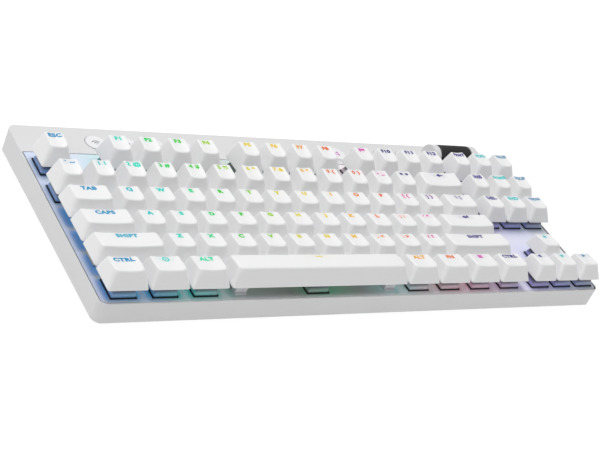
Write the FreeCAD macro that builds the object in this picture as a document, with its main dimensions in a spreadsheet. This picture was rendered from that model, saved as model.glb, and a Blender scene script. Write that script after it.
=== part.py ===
import FreeCAD, Part
import Sketcher
import math
import os

# Tenkeyless mechanical keyboard, in millimetres. The row frame stands on the desk: +X right, +Y to the back,
# +Z up, origin under the middle of the case. Most pieces are laid out on the deck, a plane through the top face
# of the switch plate that leans up to the back: x along the rows, v up the deck, w out of it.

Vector = FreeCAD.Vector
Rotation = FreeCAD.Rotation
Placement = FreeCAD.Placement

doc = FreeCAD.newDocument("keyboard")
sheet = doc.addObject("Spreadsheet::Sheet", "dim")

SIZES = [
    ("pitch", 19.05, "distance between neighbouring keys"),
    ("rows_to_front", 1.6, "case front to the front row of key cells"),
    ("row_break", 0.25, "gap between function row and number row, in pitches"),
    ("case_width", 352.0, "case along X"),
    ("case_depth", 150.0, "case along the deck"),
    ("case_corner", 5.0, "radius of the upright corners"),
    ("wall", 2.2, "case wall"),
    ("rim_width", 0.9, "case rim around the switch plate"),
    ("rim_height", 0.2, "rim above the switch plate"),
    ("strip_front", 50.2, "front edge of the back strip, v"),
    ("strip_skin", 2.0, "thickness of the back strip"),
    ("deck_height", 14.38, "deck above the desk at mid depth"),
    ("deck_tilt", 0.8, "lean of the deck, degrees"),
    ("deck_shift", -0.1, "moves the deck so that the case is centred on Y"),
    ("base_height", 1.0, "underside of the case above the desk"),
    ("floor_thick", 2.0, "bottom case floor"),
    ("plate_thick", 1.5, "switch plate"),
    ("plate_gap", 0.55, "shadow gap at the front and the sides of the switch plate"),
    ("strip_gap", 0.15, "gap between the switch plate and the back strip"),
    ("groove_depth", 2.0, "depth of the shadow gap below the switch plate"),
    ("plate_corner", 2.8, "front corner radius of the switch plate"),
    ("plate_back_corner", 0.9, "back corner radius of the switch plate"),
    ("cutout", 14.0, "square hole for a switch"),
    ("flange", 14.9, "switch flange, square"),
    ("flange_thick", 0.8, "switch flange"),
    ("housing", 13.8, "switch housing, square"),
    ("housing_top_x", 11.0, "top of the upper housing along X"),
    ("housing_top_y", 10.6, "top of the upper housing along v"),
    ("housing_height", 6.6, "upper housing above the plate"),
    ("housing_wall", 1.2, "housing wall"),
    ("board_top", -5.0, "top of the circuit board, w"),
    ("board_thick", 1.6, "circuit board"),
    ("post_across", 3.9, "switch centre post, across its flats"),
    ("post_length", 1.7, "switch post below the board"),
    ("travel", 4.0, "full key travel"),
    ("slider_x", 7.0, "switch slider along X"),
    ("slider_y", 5.3, "switch slider along v"),
    ("slider_bottom", 1.6, "underside of the resting slider, w"),
    ("slider_top", 6.5, "shoulder of the resting slider, w"),
    ("cross_top", 10.2, "tip of the resting stem cross, w"),
    ("cross_long", 4.0, "stem cross, length of each arm"),
    ("cross_arm_x", 1.3, "stem cross, thickness of the arm along X"),
    ("cross_arm_y", 1.1, "stem cross, thickness of the arm along v"),
    ("socket_gap", 0.1, "space around the cross in its socket"),
    ("spring_outer", 2.0, "spring outer radius"),
    ("spring_inner", 1.6, "spring inner radius"),
    ("skirt", 7.0, "keycap skirt above the plate, at rest"),
    ("cap_gap", 0.95, "space between neighbouring keycaps"),
    ("cap_wall", 1.4, "keycap wall"),
    ("cap_lean", 0.325, "inward lean of the keycap sides per mm of height"),
    ("cap_post", 5.0, "keycap socket post, square"),
    ("top_front", 4.9, "front edge of the keycap top, from the front of its cell"),
    ("top_back", 17.2, "back edge of the keycap top, from the front of its cell"),
    ("base_front", 9.8, "bottom row: cap height at the front of its top"),
    ("base_back", 8.7, "bottom row: cap height at the back of its top"),
    ("lower_front", 9.7, "shift row: front"),
    ("lower_back", 8.4, "shift row: back"),
    ("home_front", 9.3, "home row: front"),
    ("home_back", 8.3, "home row: back"),
    ("upper_front", 9.7, "tab row: front"),
    ("upper_back", 9.2, "tab row: back"),
    ("number_front", 11.1, "number row: front"),
    ("number_back", 12.0, "number row: back"),
    ("function_front", 11.2, "function row: front"),
    ("function_back", 12.0, "function row: back"),
    ("stab_short", 11.9, "stabiliser offset under 2 to 2.75 unit keys"),
    ("stab_long", 50.0, "stabiliser offset under the space bar"),
    ("stab_x", 7.2, "stabiliser housing along X"),
    ("stab_y", 13.6, "stabiliser housing along v"),
    ("stab_height", 5.2, "stabiliser housing above the plate"),
    ("wire_radius", 0.75, "stabiliser wire"),
    ("button_radius", 6.5, "round button"),
    ("button_hole", 6.8, "hole for a round button"),
    ("button_travel", 0.8, "round button travel"),
    ("button_proud", 0.6, "round button above the strip"),
    ("button_line", 61.1, "centre line of buttons and roller, v"),
    ("roller_radius", 8.0, "volume roller"),
    ("roller_length", 27.2, "volume roller"),
    ("roller_x", 141.17, "middle of the volume roller, x"),
    ("roller_axis", 2.0, "volume roller axle, w"),
    ("roller_gap", 0.4, "space around the volume roller"),
    ("shoulder_length", 5.1, "bearing shoulder at each end of the roller"),
    ("axle_radius", 1.5, "roller axle"),
    ("running_gap", 0.08, "radial clearance of an axle in its hole"),
    ("foot_thick", 2.9, "flip-out foot"),
    ("foot_hinge_y", 62.6, "flip-out foot hinge, Y"),
    ("foot_hinge_z", 2.85, "flip-out foot hinge, Z"),
    ("foot_width", 12.0, "flip-out foot along X"),
    ("foot_tall", 22.0, "tall flip-out foot, hinge to tip"),
    ("foot_short", 12.0, "short flip-out foot, hinge to tip"),
    ("pin_radius", 0.9, "flip-out foot hinge pin"),
]

for row, (alias, value, note) in enumerate(SIZES, start=1):
    sheet.set(f"A{row}", alias)
    sheet.set(f"B{row}", str(value))
    sheet.set(f"C{row}", note)
    sheet.setAlias(f"B{row}", alias)
doc.recompute()


class Sizes:
    """Reads a driving dimension back from the spreadsheet by its alias."""

    def __getattr__(self, alias):
        return float(sheet.get(alias))


dim = Sizes()
PITCH = dim.pitch
WIDTH_UNITS = 18.25
SLACK = 0.2
FAR = 400.0

# Keys by row, front row first: row position in pitches, height profile, then node, first column and cap widths.
KEYS = [
    (0.0, "base", [
        ("key_left_control", 0.0, [1.25]),
        ("key_left_system", 1.25, [1.25]),
        ("key_left_alt", 2.5, [1.25]),
        ("key_space_bar", 3.75, [6.25]),
        ("key_right_alt", 10.0, [1.25]),
        ("key_function", 11.25, [1.25]),
        ("key_menu", 12.5, [1.25]),
        ("key_right_control", 13.75, [1.25]),
        ("key_arrow_left", 15.25, [1.0]),
        ("key_arrow_down", 16.25, [1.0]),
        ("key_arrow_right", 17.25, [1.0]),
    ]),
    (1.0, "lower", [
        ("key_left_shift", 0.0, [2.25]),
        ("keys_lower_row", 2.25, [1.0] * 10),
        ("key_right_shift", 12.25, [2.75]),
        ("key_arrow_up", 16.25, [1.0]),
    ]),
    (2.0, "home", [
        ("key_caps_lock", 0.0, [1.75]),
        ("keys_home_row", 1.75, [1.0] * 11),
        ("key_enter", 12.75, [2.25]),
    ]),
    (3.0, "upper", [
        ("key_tab", 0.0, [1.5]),
        ("keys_upper_row", 1.5, [1.0] * 12),
        ("key_backslash", 13.5, [1.5]),
        ("keys_navigation_lower", 15.25, [1.0] * 3),
    ]),
    (4.0, "number", [
        ("keys_number_row", 0.0, [1.0] * 13),
        ("key_backspace", 13.0, [2.0]),
        ("keys_navigation_upper", 15.25, [1.0] * 3),
    ]),
    (5.0 + dim.row_break, "function", [
        ("key_escape", 0.0, [1.0]),
        ("keys_function_1_to_4", 2.0, [1.0] * 4),
        ("keys_function_5_to_8", 6.5, [1.0] * 4),
        ("keys_function_9_to_12", 11.0, [1.0] * 4),
        ("keys_print_to_pause", 15.25, [1.0] * 3),
    ]),
]

ROUND_BUTTONS = [
    ("button_wireless", 2.5),
    ("button_pairing", 3.5),
    ("button_game_mode", 4.5),
    ("button_backlight", 5.5),
    ("button_previous_track", 11.5),
    ("button_play_pause", 12.5),
    ("button_next_track", 13.5),
    ("button_mute", 14.5),
]


def deck_placement(x=0.0, v=0.0, w=0.0):
    """Placement of a piece whose own origin lies at (x, v, w) on the leaning deck."""
    lean = Placement(Vector(0, dim.deck_shift, dim.deck_height), Rotation(Vector(1, 0, 0), dim.deck_tilt))
    return lean.multiply(Placement(Vector(x, v, w), Rotation()))


def column_x(column):
    """Deck x of a column line, counted in pitches from the left edge of the key field."""
    return (column - WIDTH_UNITS / 2) * PITCH


def row_v(row):
    """Deck v of a row line, counted in pitches from the front edge of the key field."""
    return dim.rows_to_front - dim.case_depth / 2 + row * PITCH


def block(x0, x1, y0, y1, z0, z1):
    """A plain box between two corners."""
    return Part.makeBox(x1 - x0, y1 - y0, z1 - z0, Vector(x0, y0, z0))


def centred(size_x, size_y, z0, z1, x=0.0, y=0.0):
    """A box centred on (x, y)."""
    return block(x - size_x / 2, x + size_x / 2, y - size_y / 2, y + size_y / 2, z0, z1)


def prism(radius, z0, z1, x=0.0, y=0.0):
    """An upright octagonal bar, its flats this far from its axis."""
    corner = radius / math.cos(math.pi / 8)
    ring = []
    for step in range(9):
        angle = math.pi / 8 + step * math.pi / 4
        ring.append(Vector(x + corner * math.cos(angle), y + corner * math.sin(angle), z0))
    return Part.Face(Part.makePolygon(ring)).extrude(Vector(0, 0, z1 - z0))


def cylinder(radius, start, end):
    """A round bar between two points."""
    along = end.sub(start)
    return Part.makeCylinder(radius, along.Length, start, along)


def ring_face(points):
    """A flat face through the points."""
    return Part.Face(Part.makePolygon(points + points[:1]))


def frustum(bottom, top):
    """A solid with six flat faces: two four-cornered rings, in the same order, joined by their sides."""
    faces = [ring_face(bottom), ring_face(top)]
    for i in range(4):
        j = (i + 1) % 4
        faces.append(ring_face([bottom[i], bottom[j], top[j], top[i]]))
    solid = Part.makeSolid(Part.makeShell(faces))
    if solid.Volume < 0:
        solid.reverse()
    return solid


def part_feature(name, shape, placement=None):
    """A sub-part whose shape Part's own functions made."""
    item = doc.addObject("Part::Feature", name)
    item.Label = name
    item.Shape = shape
    item.Placement = placement if placement else Placement()
    return item


def copies(shape, places):
    """The same solid at each (x, v) place."""
    return Part.makeCompound([shape.translated(Vector(x, v, 0)) for x, v in places])


def bound_box(name, length, width, height, x, y, z):
    """A Part::Box whose sizes and corner are formulas of the spreadsheet."""
    item = doc.addObject("Part::Box", name)
    item.setExpression("Length", length)
    item.setExpression("Width", width)
    item.setExpression("Height", height)
    item.setExpression(".Placement.Base.x", x)
    item.setExpression(".Placement.Base.y", y)
    item.setExpression(".Placement.Base.z", z)
    return item


def upright_fillet(name, base, front_radius, back_radius):
    """Rounds the upright corner edges of a box."""
    doc.recompute()
    item = doc.addObject("Part::Fillet", name)
    item.Base = base
    middle = base.Shape.BoundBox.Center.y
    uprights = []
    for index, edge in enumerate(base.Shape.Edges, start=1):
        direction = edge.tangentAt(edge.FirstParameter)
        if abs(direction.z) > 0.99:
            radius = front_radius if edge.CenterOfMass.y < middle else back_radius
            uprights.append((index, radius, radius))
    item.Edges = uprights
    return item


def cut(name, base, tool):
    """Base less tool."""
    item = doc.addObject("Part::Cut", name)
    item.Base = base
    item.Tool = tool
    return item


def fuse(name, shapes):
    """Several shapes made one."""
    item = doc.addObject("Part::MultiFuse", name)
    item.Shapes = shapes
    return item


def round_pad(body, name, plane_role, radius, height, offset=0.0):
    """A disc padded from a circle sketch on one of the body's own planes."""
    sketch = body.newObject("Sketcher::SketchObject", name + "_sketch")
    planes = [plane for plane in body.Origin.OriginFeatures if plane.Role == plane_role]
    sketch.AttachmentSupport = (planes[0], [""])
    sketch.MapMode = "FlatFace"
    sketch.AttachmentOffset = Placement(Vector(0, 0, offset), Rotation())
    sketch.addGeometry(Part.Circle(Vector(0, 0, 0), Vector(0, 0, 1), 1.0))
    sketch.addConstraint(Sketcher.Constraint("Coincident", 0, 3, -1, 1))
    size = sketch.addConstraint(Sketcher.Constraint("Radius", 0, 1.0))
    sketch.setExpression(f"Constraints[{size}]", radius)
    pad = body.newObject("PartDesign::Pad", name)
    pad.Profile = sketch
    pad.setExpression("Length", height)
    return pad


nodes = []

# Where every switch, stabiliser and cap goes.
switch_places = []
stab_places = []
wire_spans = []
for row, profile, groups in KEYS:
    for node, first_column, widths in groups:
        column = first_column
        for units in widths:
            x = column_x(column + units / 2)
            v = row_v(row + 0.5)
            switch_places.append((x, v))
            if units >= 2:
                reach = dim.stab_long if units > 3 else dim.stab_short
                stab_places.append((x - reach, v))
                stab_places.append((x + reach, v))
                wire_spans.append((x, v, reach))
            column += units

HOLE_FRONT = row_v(0) - dim.rows_to_front + dim.rim_width
INNER_X = dim.case_width / 2 - dim.wall
INNER_V = dim.case_depth / 2 - dim.wall

# Screws: three behind the front wall between switch housings, four under the back strip.
SCREW_PLACES = [
    (column_x(1.25), row_v(0) + 3.2),
    (column_x(10.0), row_v(0) + 3.2),
    (column_x(15.125), row_v(0) + 3.2),
    (column_x(0.5), 69.5),
    (column_x(6.4), 69.5),
    (column_x(10.55), 69.5),
    (column_x(18.0), 69.5),
]
POST_RADIUS = 2.2
POST_JOIN = 0.6
POST_BOTTOM_CLEAR = 0.05


def screw_ground(v):
    """Y in the row frame of a place on the deck, at floor height."""
    lean = math.radians(dim.deck_tilt)
    return v * math.cos(lean) + (dim.deck_height - dim.base_height) * math.sin(lean) + dim.deck_shift


# Top case: one moulded shell with the walls, the rim round the plate and the back strip with its openings.
shell_block = bound_box(
    "shell_block", "dim.case_width", "dim.case_depth", "20 + dim.rim_height",
    "-dim.case_width / 2", "-dim.case_depth / 2", "-20",
)
shell_outer = upright_fillet("shell_outer", shell_block, dim.case_corner, dim.case_corner)
shell_cavity = bound_box(
    "shell_cavity", "dim.case_width - 2 * dim.wall", "dim.case_depth - 2 * dim.wall",
    "30 - dim.plate_thick", "dim.wall - dim.case_width / 2", "dim.wall - dim.case_depth / 2", "-30",
)
inner_corner = dim.case_corner - dim.wall
shell_cavity_round = upright_fillet("shell_cavity_round", shell_cavity, inner_corner, inner_corner)
strip_keep = bound_box(
    "strip_keep", "dim.case_width", "dim.case_depth / 2 - dim.strip_front", "5",
    "-dim.case_width / 2", "dim.strip_front", "-dim.strip_skin + dim.rim_height",
)
cavity_tool = cut("cavity_tool", shell_cavity_round, strip_keep)
plate_opening = bound_box(
    "plate_opening", "dim.case_width - 2 * dim.rim_width",
    "dim.strip_front + dim.case_depth / 2 - dim.rim_width", "5",
    "dim.rim_width - dim.case_width / 2", "dim.rim_width - dim.case_depth / 2", "-dim.plate_thick",
)
opening_corner = dim.plate_corner + dim.plate_gap
opening_back_corner = dim.plate_back_corner + dim.strip_gap
plate_opening_round = upright_fillet("plate_opening_round", plate_opening, opening_corner, opening_back_corner)
groove_block = bound_box(
    "groove_block", "dim.case_width - 2 * dim.rim_width",
    "dim.strip_front + dim.case_depth / 2 - dim.rim_width", "dim.groove_depth + 0.5",
    "dim.rim_width - dim.case_width / 2", "dim.rim_width - dim.case_depth / 2",
    "-dim.plate_thick - dim.groove_depth",
)
groove_core = bound_box(
    "groove_core", "dim.case_width - 2 * dim.rim_width - 2 * dim.plate_gap", "dim.case_depth", "10",
    "dim.rim_width + dim.plate_gap - dim.case_width / 2",
    "dim.rim_width + dim.plate_gap - dim.case_depth / 2", "-8",
)
groove_outside = upright_fillet("groove_outside", groove_block, opening_corner, opening_back_corner)
groove_inside = upright_fillet("groove_inside", groove_core, dim.plate_corner, dim.plate_corner)
shadow_groove = cut("shadow_groove", groove_outside, groove_inside)

roller_middle = Vector(dim.roller_x, dim.button_line, dim.roller_axis)
along_x = Vector(1, 0, 0)
shoulder_half = dim.roller_length / 2 + dim.roller_gap + dim.shoulder_length
drum = cylinder(dim.roller_radius, roller_middle - along_x * shoulder_half, roller_middle + along_x * shoulder_half)
posts = []
for x, v in SCREW_PLACES:
    reach = POST_RADIUS + (POST_JOIN if v < 0 else 0.0)
    posts.append(block(x - POST_RADIUS, x + POST_RADIUS, v - reach, v + POST_RADIUS, -20.0, -dim.plate_thick))
shell_extras = part_feature("shell_extras", Part.makeCompound([drum] + posts))

well_half = dim.roller_length / 2 + dim.roller_gap
well_reach = dim.roller_radius + dim.roller_gap
openings = [
    cylinder(well_reach, roller_middle - along_x * well_half, roller_middle + along_x * well_half),
    block(dim.roller_x - well_half, dim.roller_x + well_half, dim.button_line - well_reach,
          dim.button_line + well_reach, -20.0, dim.roller_axis),
    cylinder(dim.axle_radius + dim.running_gap, roller_middle - along_x * (shoulder_half - 1.2),
             roller_middle + along_x * (shoulder_half - 1.2)),
]
ENCODER_X = dim.roller_x + well_half + 1.0
openings.append(block(ENCODER_X - 0.1, ENCODER_X + 3.1, dim.button_line - 3.8, dim.button_line + 3.8, -20.0, 4.8))
for name, column in ROUND_BUTTONS:
    centre = Vector(column_x(column), dim.button_line, -20.0)
    openings.append(cylinder(dim.button_hole, centre, centre + Vector(0, 0, 30)))
PORT_X = column_x(6.0)
SWITCH_X = column_x(4.0)
PORT_W = (-7.9, -2.9)
openings.append(block(PORT_X - 5.6, PORT_X + 5.6, 72.0, 80.0, PORT_W[0], PORT_W[1]))
SLOT_HALF = 4.5
openings.append(block(SWITCH_X - SLOT_HALF, SWITCH_X + SLOT_HALF, 72.0, 80.0, -7.0, -3.8))
floor_level = dim.base_height - dim.deck_height
below = Part.makeBox(2 * FAR, 2 * FAR, FAR, Vector(-FAR, -FAR, -FAR + floor_level))
below.Placement = Placement(Vector(), Rotation(Vector(1, 0, 0), -dim.deck_tilt)).multiply(below.Placement)
post_cut = Part.makeBox(
    2 * (INNER_X - 0.5), 2 * (INNER_V - 0.5), FAR,
    Vector(-INNER_X + 0.5, -INNER_V + 0.3, -FAR + floor_level + dim.floor_thick + POST_BOTTOM_CLEAR),
)
post_cut.Placement = Placement(Vector(), Rotation(Vector(1, 0, 0), -dim.deck_tilt)).multiply(post_cut.Placement)
for x, v in SCREW_PLACES:
    openings.append(cylinder(1.2, Vector(x, v, -20.0), Vector(x, v, -4.0)))
shell_openings = part_feature("shell_openings", Part.makeCompound([below, post_cut] + openings))

shell_tools = fuse("shell_tools", [cavity_tool, plate_opening_round, shadow_groove])
shell_hollow = cut("shell_hollow", shell_outer, shell_tools)
shell_full = fuse("shell_full", [shell_hollow, shell_extras])
top_case = cut("top_case", shell_full, shell_openings)
top_case.Placement = deck_placement()
nodes.append(top_case)

# Bottom case: a level tray floor inside the walls, with raised pockets for the flip-out feet.
floor_plate = bound_box(
    "floor_plate", "dim.case_width - 2 * dim.wall - 0.4", "dim.case_depth - 2 * dim.wall - 0.6",
    "dim.floor_thick", "dim.wall + 0.2 - dim.case_width / 2", "dim.wall + 0.3 - dim.case_depth / 2",
    "dim.base_height",
)
floor_round = upright_fillet("floor_round", floor_plate, inner_corner, inner_corner)
POCKET_GAP = 0.4
FOOT_PLACES = [
    ("left_tall_foot", -150.0, dim.foot_tall),
    ("left_short_foot", -134.0, dim.foot_short),
    ("right_short_foot", 134.0, dim.foot_short),
    ("right_tall_foot", 150.0, dim.foot_tall),
]
hinge_y = dim.foot_hinge_y
pocket_top = dim.foot_hinge_z + dim.foot_thick / 2 + POCKET_GAP
domes = []
pockets = []
for side in (-1, 1):
    domes.append(block(side * 142.0 - 18.0, side * 142.0 + 18.0, hinge_y - dim.foot_tall - 3.0,
                       hinge_y + 4.0, dim.base_height, pocket_top + 1.4))
for name, x, length in FOOT_PLACES:
    half = dim.foot_width / 2 + POCKET_GAP
    pockets.append(block(x - half, x + half, hinge_y - length - 1.5, hinge_y + 2.2, 0.0, pocket_top))
    pin_reach = dim.foot_width / 2 + POCKET_GAP + 1.4
    pockets.append(cylinder(dim.pin_radius + dim.running_gap, Vector(x - pin_reach, hinge_y, dim.foot_hinge_z),
                            Vector(x + pin_reach, hinge_y, dim.foot_hinge_z)))
for x, v in SCREW_PLACES:
    y = screw_ground(v)
    pockets.append(cylinder(2.4, Vector(x, y, 0.0), Vector(x, y, 2.1)))
    pockets.append(cylinder(1.35, Vector(x, y, 0.0), Vector(x, y, 4.0)))
PADS = [(-140.0, -62.0), (140.0, -62.0), (-95.0, 62.0), (95.0, 62.0)]
PAD_LENGTH = 32.0
PAD_WIDTH = 7.0
PAD_SUNK = 0.6


def pad_shape(grow, z0, z1, x, y):
    """A bar with round ends."""
    radius = PAD_WIDTH / 2 + grow
    half = PAD_LENGTH / 2 - PAD_WIDTH / 2
    bar = centred(2 * half, 2 * radius, z0, z1, x, y)
    left = cylinder(radius, Vector(x - half, y, z0), Vector(x - half, y, z1))
    right = cylinder(radius, Vector(x + half, y, z0), Vector(x + half, y, z1))
    return bar.fuse([left, right]).removeSplitter()


for x, y in PADS:
    pockets.append(pad_shape(0.15, 0.0, dim.base_height + PAD_SUNK, x, y))
floor_domes = part_feature("floor_domes", Part.makeCompound(domes))
floor_pockets = part_feature("floor_pockets", Part.makeCompound(pockets))
floor_full = fuse("floor_full", [floor_round, floor_domes])
bottom_case = cut("bottom_case", floor_full, floor_pockets)
nodes.append(bottom_case)

# Switch plate: sheet aluminium, one square hole per switch and a hole for each stabiliser housing.
plate_sheet = bound_box(
    "plate_sheet", "dim.case_width - 2 * dim.rim_width - 2 * dim.plate_gap",
    "dim.strip_front + dim.case_depth / 2 - dim.rim_width - dim.plate_gap - dim.strip_gap", "dim.plate_thick",
    "dim.rim_width + dim.plate_gap - dim.case_width / 2",
    "dim.rim_width + dim.plate_gap - dim.case_depth / 2", "-dim.plate_thick",
)
plate_round = upright_fillet("plate_round", plate_sheet, dim.plate_corner, dim.plate_back_corner)
switch_hole = centred(dim.cutout, dim.cutout, -5.0, 5.0)
stab_hole = centred(6.8, 12.4, -5.0, 5.0)
plate_holes = part_feature(
    "plate_holes",
    Part.makeCompound([copies(switch_hole, switch_places), copies(stab_hole, stab_places)]),
)
switch_plate = cut("switch_plate", plate_round, plate_holes)
switch_plate.Placement = deck_placement()
nodes.append(switch_plate)

# Circuit board: carries the switches, with a hole for each centre post and notches for the front screw posts.
board_sheet = bound_box(
    "board_sheet", "dim.pitch * 18.25 - 4", "dim.pitch * 6.25 + 2", "dim.board_thick",
    "2 - dim.pitch * 18.25 / 2", "dim.rows_to_front - dim.case_depth / 2 + 0.9", "dim.board_top - dim.board_thick",
)
post_hole = prism(dim.post_across / 2 + 0.15, -10.0, 0.0)
notches = [centred(2 * POST_RADIUS + 1, 2 * POST_RADIUS + 2, -10.0, 0.0, x, v - 0.3) for x, v in SCREW_PLACES[:3]]
board_holes = part_feature("board_holes", Part.makeCompound([copies(post_hole, switch_places)] + notches))
circuit_board = cut("circuit_board", board_sheet, board_holes)
circuit_board.Placement = deck_placement()
nodes.append(circuit_board)

# One switch: lower housing with flange, centre post and light window, upper housing with a slider opening.
low_body = centred(dim.housing, dim.housing, dim.board_top, 0.0)
low_flange = centred(dim.flange, dim.flange, 0.0, dim.flange_thick)
low_post = prism(dim.post_across / 2, dim.board_top - dim.board_thick - dim.post_length, dim.board_top)
inside = dim.housing - 2 * dim.housing_wall
low_cavity = centred(inside, inside, dim.board_top + 1.0, 5.0)
LIGHT_Y = 4.7
light_window = centred(4.6, 3.0, dim.board_top - 1.0, dim.board_top + 2.0, 0.0, LIGHT_Y - 0.4)
lower_housing = low_body.fuse([low_flange, low_post]).cut(low_cavity).cut(light_window).removeSplitter()


def square_ring(size_x, size_y, z):
    """Four corners of a centred rectangle."""
    corners = ((-1, -1), (1, -1), (1, 1), (-1, 1))
    return [Vector(a * size_x / 2, b * size_y / 2, z) for a, b in corners]


upper_outside = frustum(
    square_ring(dim.housing, dim.housing, dim.flange_thick),
    square_ring(dim.housing_top_x, dim.housing_top_y, dim.housing_height),
)
shrink = 2 * dim.housing_wall
upper_inside = frustum(
    square_ring(dim.housing - shrink, dim.housing - shrink, dim.flange_thick),
    square_ring(dim.housing_top_x - shrink, dim.housing_top_y - shrink, dim.housing_height - 1.0),
)
slider_opening = centred(dim.slider_x + 0.4, dim.slider_y + 0.4, 0.0, 10.0)
upper_housing = upper_outside.cut(upper_inside).cut(slider_opening).removeSplitter()
spring_bottom = dim.board_top + 1.0
spring_tube = prism(dim.spring_outer, spring_bottom + 0.05, dim.slider_bottom - 0.05)
spring_tube = spring_tube.cut(prism(dim.spring_inner, spring_bottom - 1.0, dim.slider_bottom + 1.0))
key_light = centred(3.2, 2.0, dim.board_top, dim.board_top + 1.2, 0.0, LIGHT_Y - 0.4)
nodes.append(part_feature("switch_lower_housings", copies(lower_housing, switch_places), deck_placement()))
nodes.append(part_feature("switch_upper_housings", copies(upper_housing, switch_places), deck_placement()))
nodes.append(part_feature("switch_springs", copies(spring_tube, switch_places), deck_placement()))
nodes.append(part_feature("key_lights", copies(key_light, switch_places), deck_placement()))

# Stabilisers: a slotted housing at each side of a long key, and the wire that levels the two sides.
stab_clip = centred(6.6, 12.2, -3.8, 0.0)
stab_flange = centred(dim.stab_x, dim.stab_y, 0.0, 1.2)
stab_tower = centred(dim.stab_x, dim.stab_y - 2.0, 0.0, dim.stab_height)
stab_slot = centred(5.6, 6.2, -3.3, 10.0)
stab_housing = stab_clip.fuse([stab_flange, stab_tower]).cut(stab_slot).removeSplitter()
nodes.append(part_feature("stabilizer_housings", copies(stab_housing, stab_places), deck_placement()))
WIRE_BACK = 8.8
WIRE_W = 1.0
wires = []
for x, v, reach in wire_spans:
    outer = reach + dim.stab_x / 2 + dim.wire_radius + SLACK
    left_end = Vector(x - outer, v - 2.0, WIRE_W)
    left_bend = Vector(x - outer, v + WIRE_BACK, WIRE_W)
    right_bend = Vector(x + outer, v + WIRE_BACK, WIRE_W)
    right_end = Vector(x + outer, v - 2.0, WIRE_W)
    path = Part.makePolygon([left_end, left_bend, right_bend, right_end])
    section = Part.Wire(Part.makeCircle(dim.wire_radius, left_end, Vector(0, 1, 0)))
    wires.append(path.makePipeShell([section], True, False, 1))
nodes.append(part_feature("stabilizer_wires", Part.makeCompound(wires), deck_placement()))


# Keys: hollow caps with socket posts, each on its switch slider. Long caps have two more sliders.
def cap_rings(units, front_rise, back_rise, inset):
    """Lower and upper corner rings of a cap, drawn in by the inset; the sides lean in with height."""
    half_x = (units * PITCH - dim.cap_gap) / 2 - inset
    half_y = (PITCH - dim.cap_gap) / 2 - inset
    front = dim.top_front - PITCH / 2 + inset
    back = dim.top_back - PITCH / 2 - inset
    lower = square_ring(2 * half_x, 2 * half_y, 0.0)
    upper = []
    for side, y, z in ((-1, front, front_rise), (1, front, front_rise), (1, back, back_rise), (-1, back, back_rise)):
        upper.append(Vector(side * (half_x - dim.cap_lean * z), y, z))
    return lower, upper


def cross_bars(grow, z0, z1, x=0.0):
    """Two crossed bars, grown on all sides."""
    across = centred(dim.cross_long + 2 * grow, dim.cross_arm_x + 2 * grow, z0, z1, x)
    along = centred(dim.cross_arm_y + 2 * grow, dim.cross_long + 2 * grow, z0, z1, x)
    return across.fuse(along)


def socket_places(units):
    """Socket offsets along a cap: the switch, and the stabilisers of a long cap."""
    if units > 3:
        return [0.0, -dim.stab_long, dim.stab_long]
    if units >= 2:
        return [0.0, -dim.stab_short, dim.stab_short]
    return [0.0]


def cap_solid(units, profile):
    """One cap; its own origin is at the middle of its cell, on the plate."""
    front_rise = getattr(dim, profile + "_front")
    back_rise = getattr(dim, profile + "_back")
    skin = frustum(*cap_rings(units, front_rise, back_rise, 0.0))
    roof = dim.cap_wall
    hollow = frustum(*cap_rings(units, front_rise - roof, back_rise - roof, roof))
    cap = skin.cut(hollow)
    post_end = (front_rise + back_rise - roof) / 2
    post_start = dim.slider_top + 0.3 - dim.skirt
    mates = [centred(dim.cap_post, dim.cap_post, post_start, post_end, x) for x in socket_places(units)]
    cap = cap.fuse(mates)
    tip = dim.cross_top + 0.4 - dim.skirt
    for x in socket_places(units):
        cap = cap.cut(cross_bars(dim.socket_gap, -5.0, tip, x))
    cap = cap.removeSplitter()
    cap.translate(Vector(0, 0, dim.skirt))
    return cap


def slider_solid(size_x, size_y, x):
    """A slider with its cross, at one socket of a cap."""
    shoe = centred(size_x, size_y, dim.slider_bottom, dim.slider_top, x)
    return shoe.fuse(cross_bars(0.0, dim.slider_top - 1.0, dim.cross_top, x)).removeSplitter()


cap_library = {}
for row, profile, groups in KEYS:
    for node, first_column, widths in groups:
        solids = []
        column = first_column
        for units in widths:
            if (units, profile) not in cap_library:
                pieces = [cap_solid(units, profile), slider_solid(dim.slider_x, dim.slider_y, 0.0)]
                for offset in socket_places(units)[1:]:
                    pieces.append(slider_solid(5.0, 5.4, offset))
                cap_library[(units, profile)] = pieces
            place = Vector(column_x(column + units / 2), row_v(row + 0.5), 0)
            solids += [piece.translated(place) for piece in cap_library[(units, profile)]]
            column += units
        nodes.append(part_feature(node, Part.makeCompound(solids), deck_placement()))

# Round buttons on the back strip: a disc with a holding flange and a plunger below.
FLANGE_TOP = dim.rim_height - dim.strip_skin - 0.1
for name, column in ROUND_BUTTONS:
    body = doc.addObject("PartDesign::Body", name)
    body.Label = name
    flange_height = f"dim.button_proud + dim.rim_height - ({FLANGE_TOP})"
    round_pad(body, name + "_disc", "XY_Plane", "dim.button_radius", flange_height, FLANGE_TOP)
    round_pad(body, name + "_flange", "XY_Plane", "dim.button_hole + 0.9", "0.8", FLANGE_TOP - 0.8)
    round_pad(body, name + "_plunger", "XY_Plane", "1.5", "1.0", FLANGE_TOP - 1.6)
    body.Placement = deck_placement(column_x(column), dim.button_line, 0.0)
    nodes.append(body)

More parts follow.
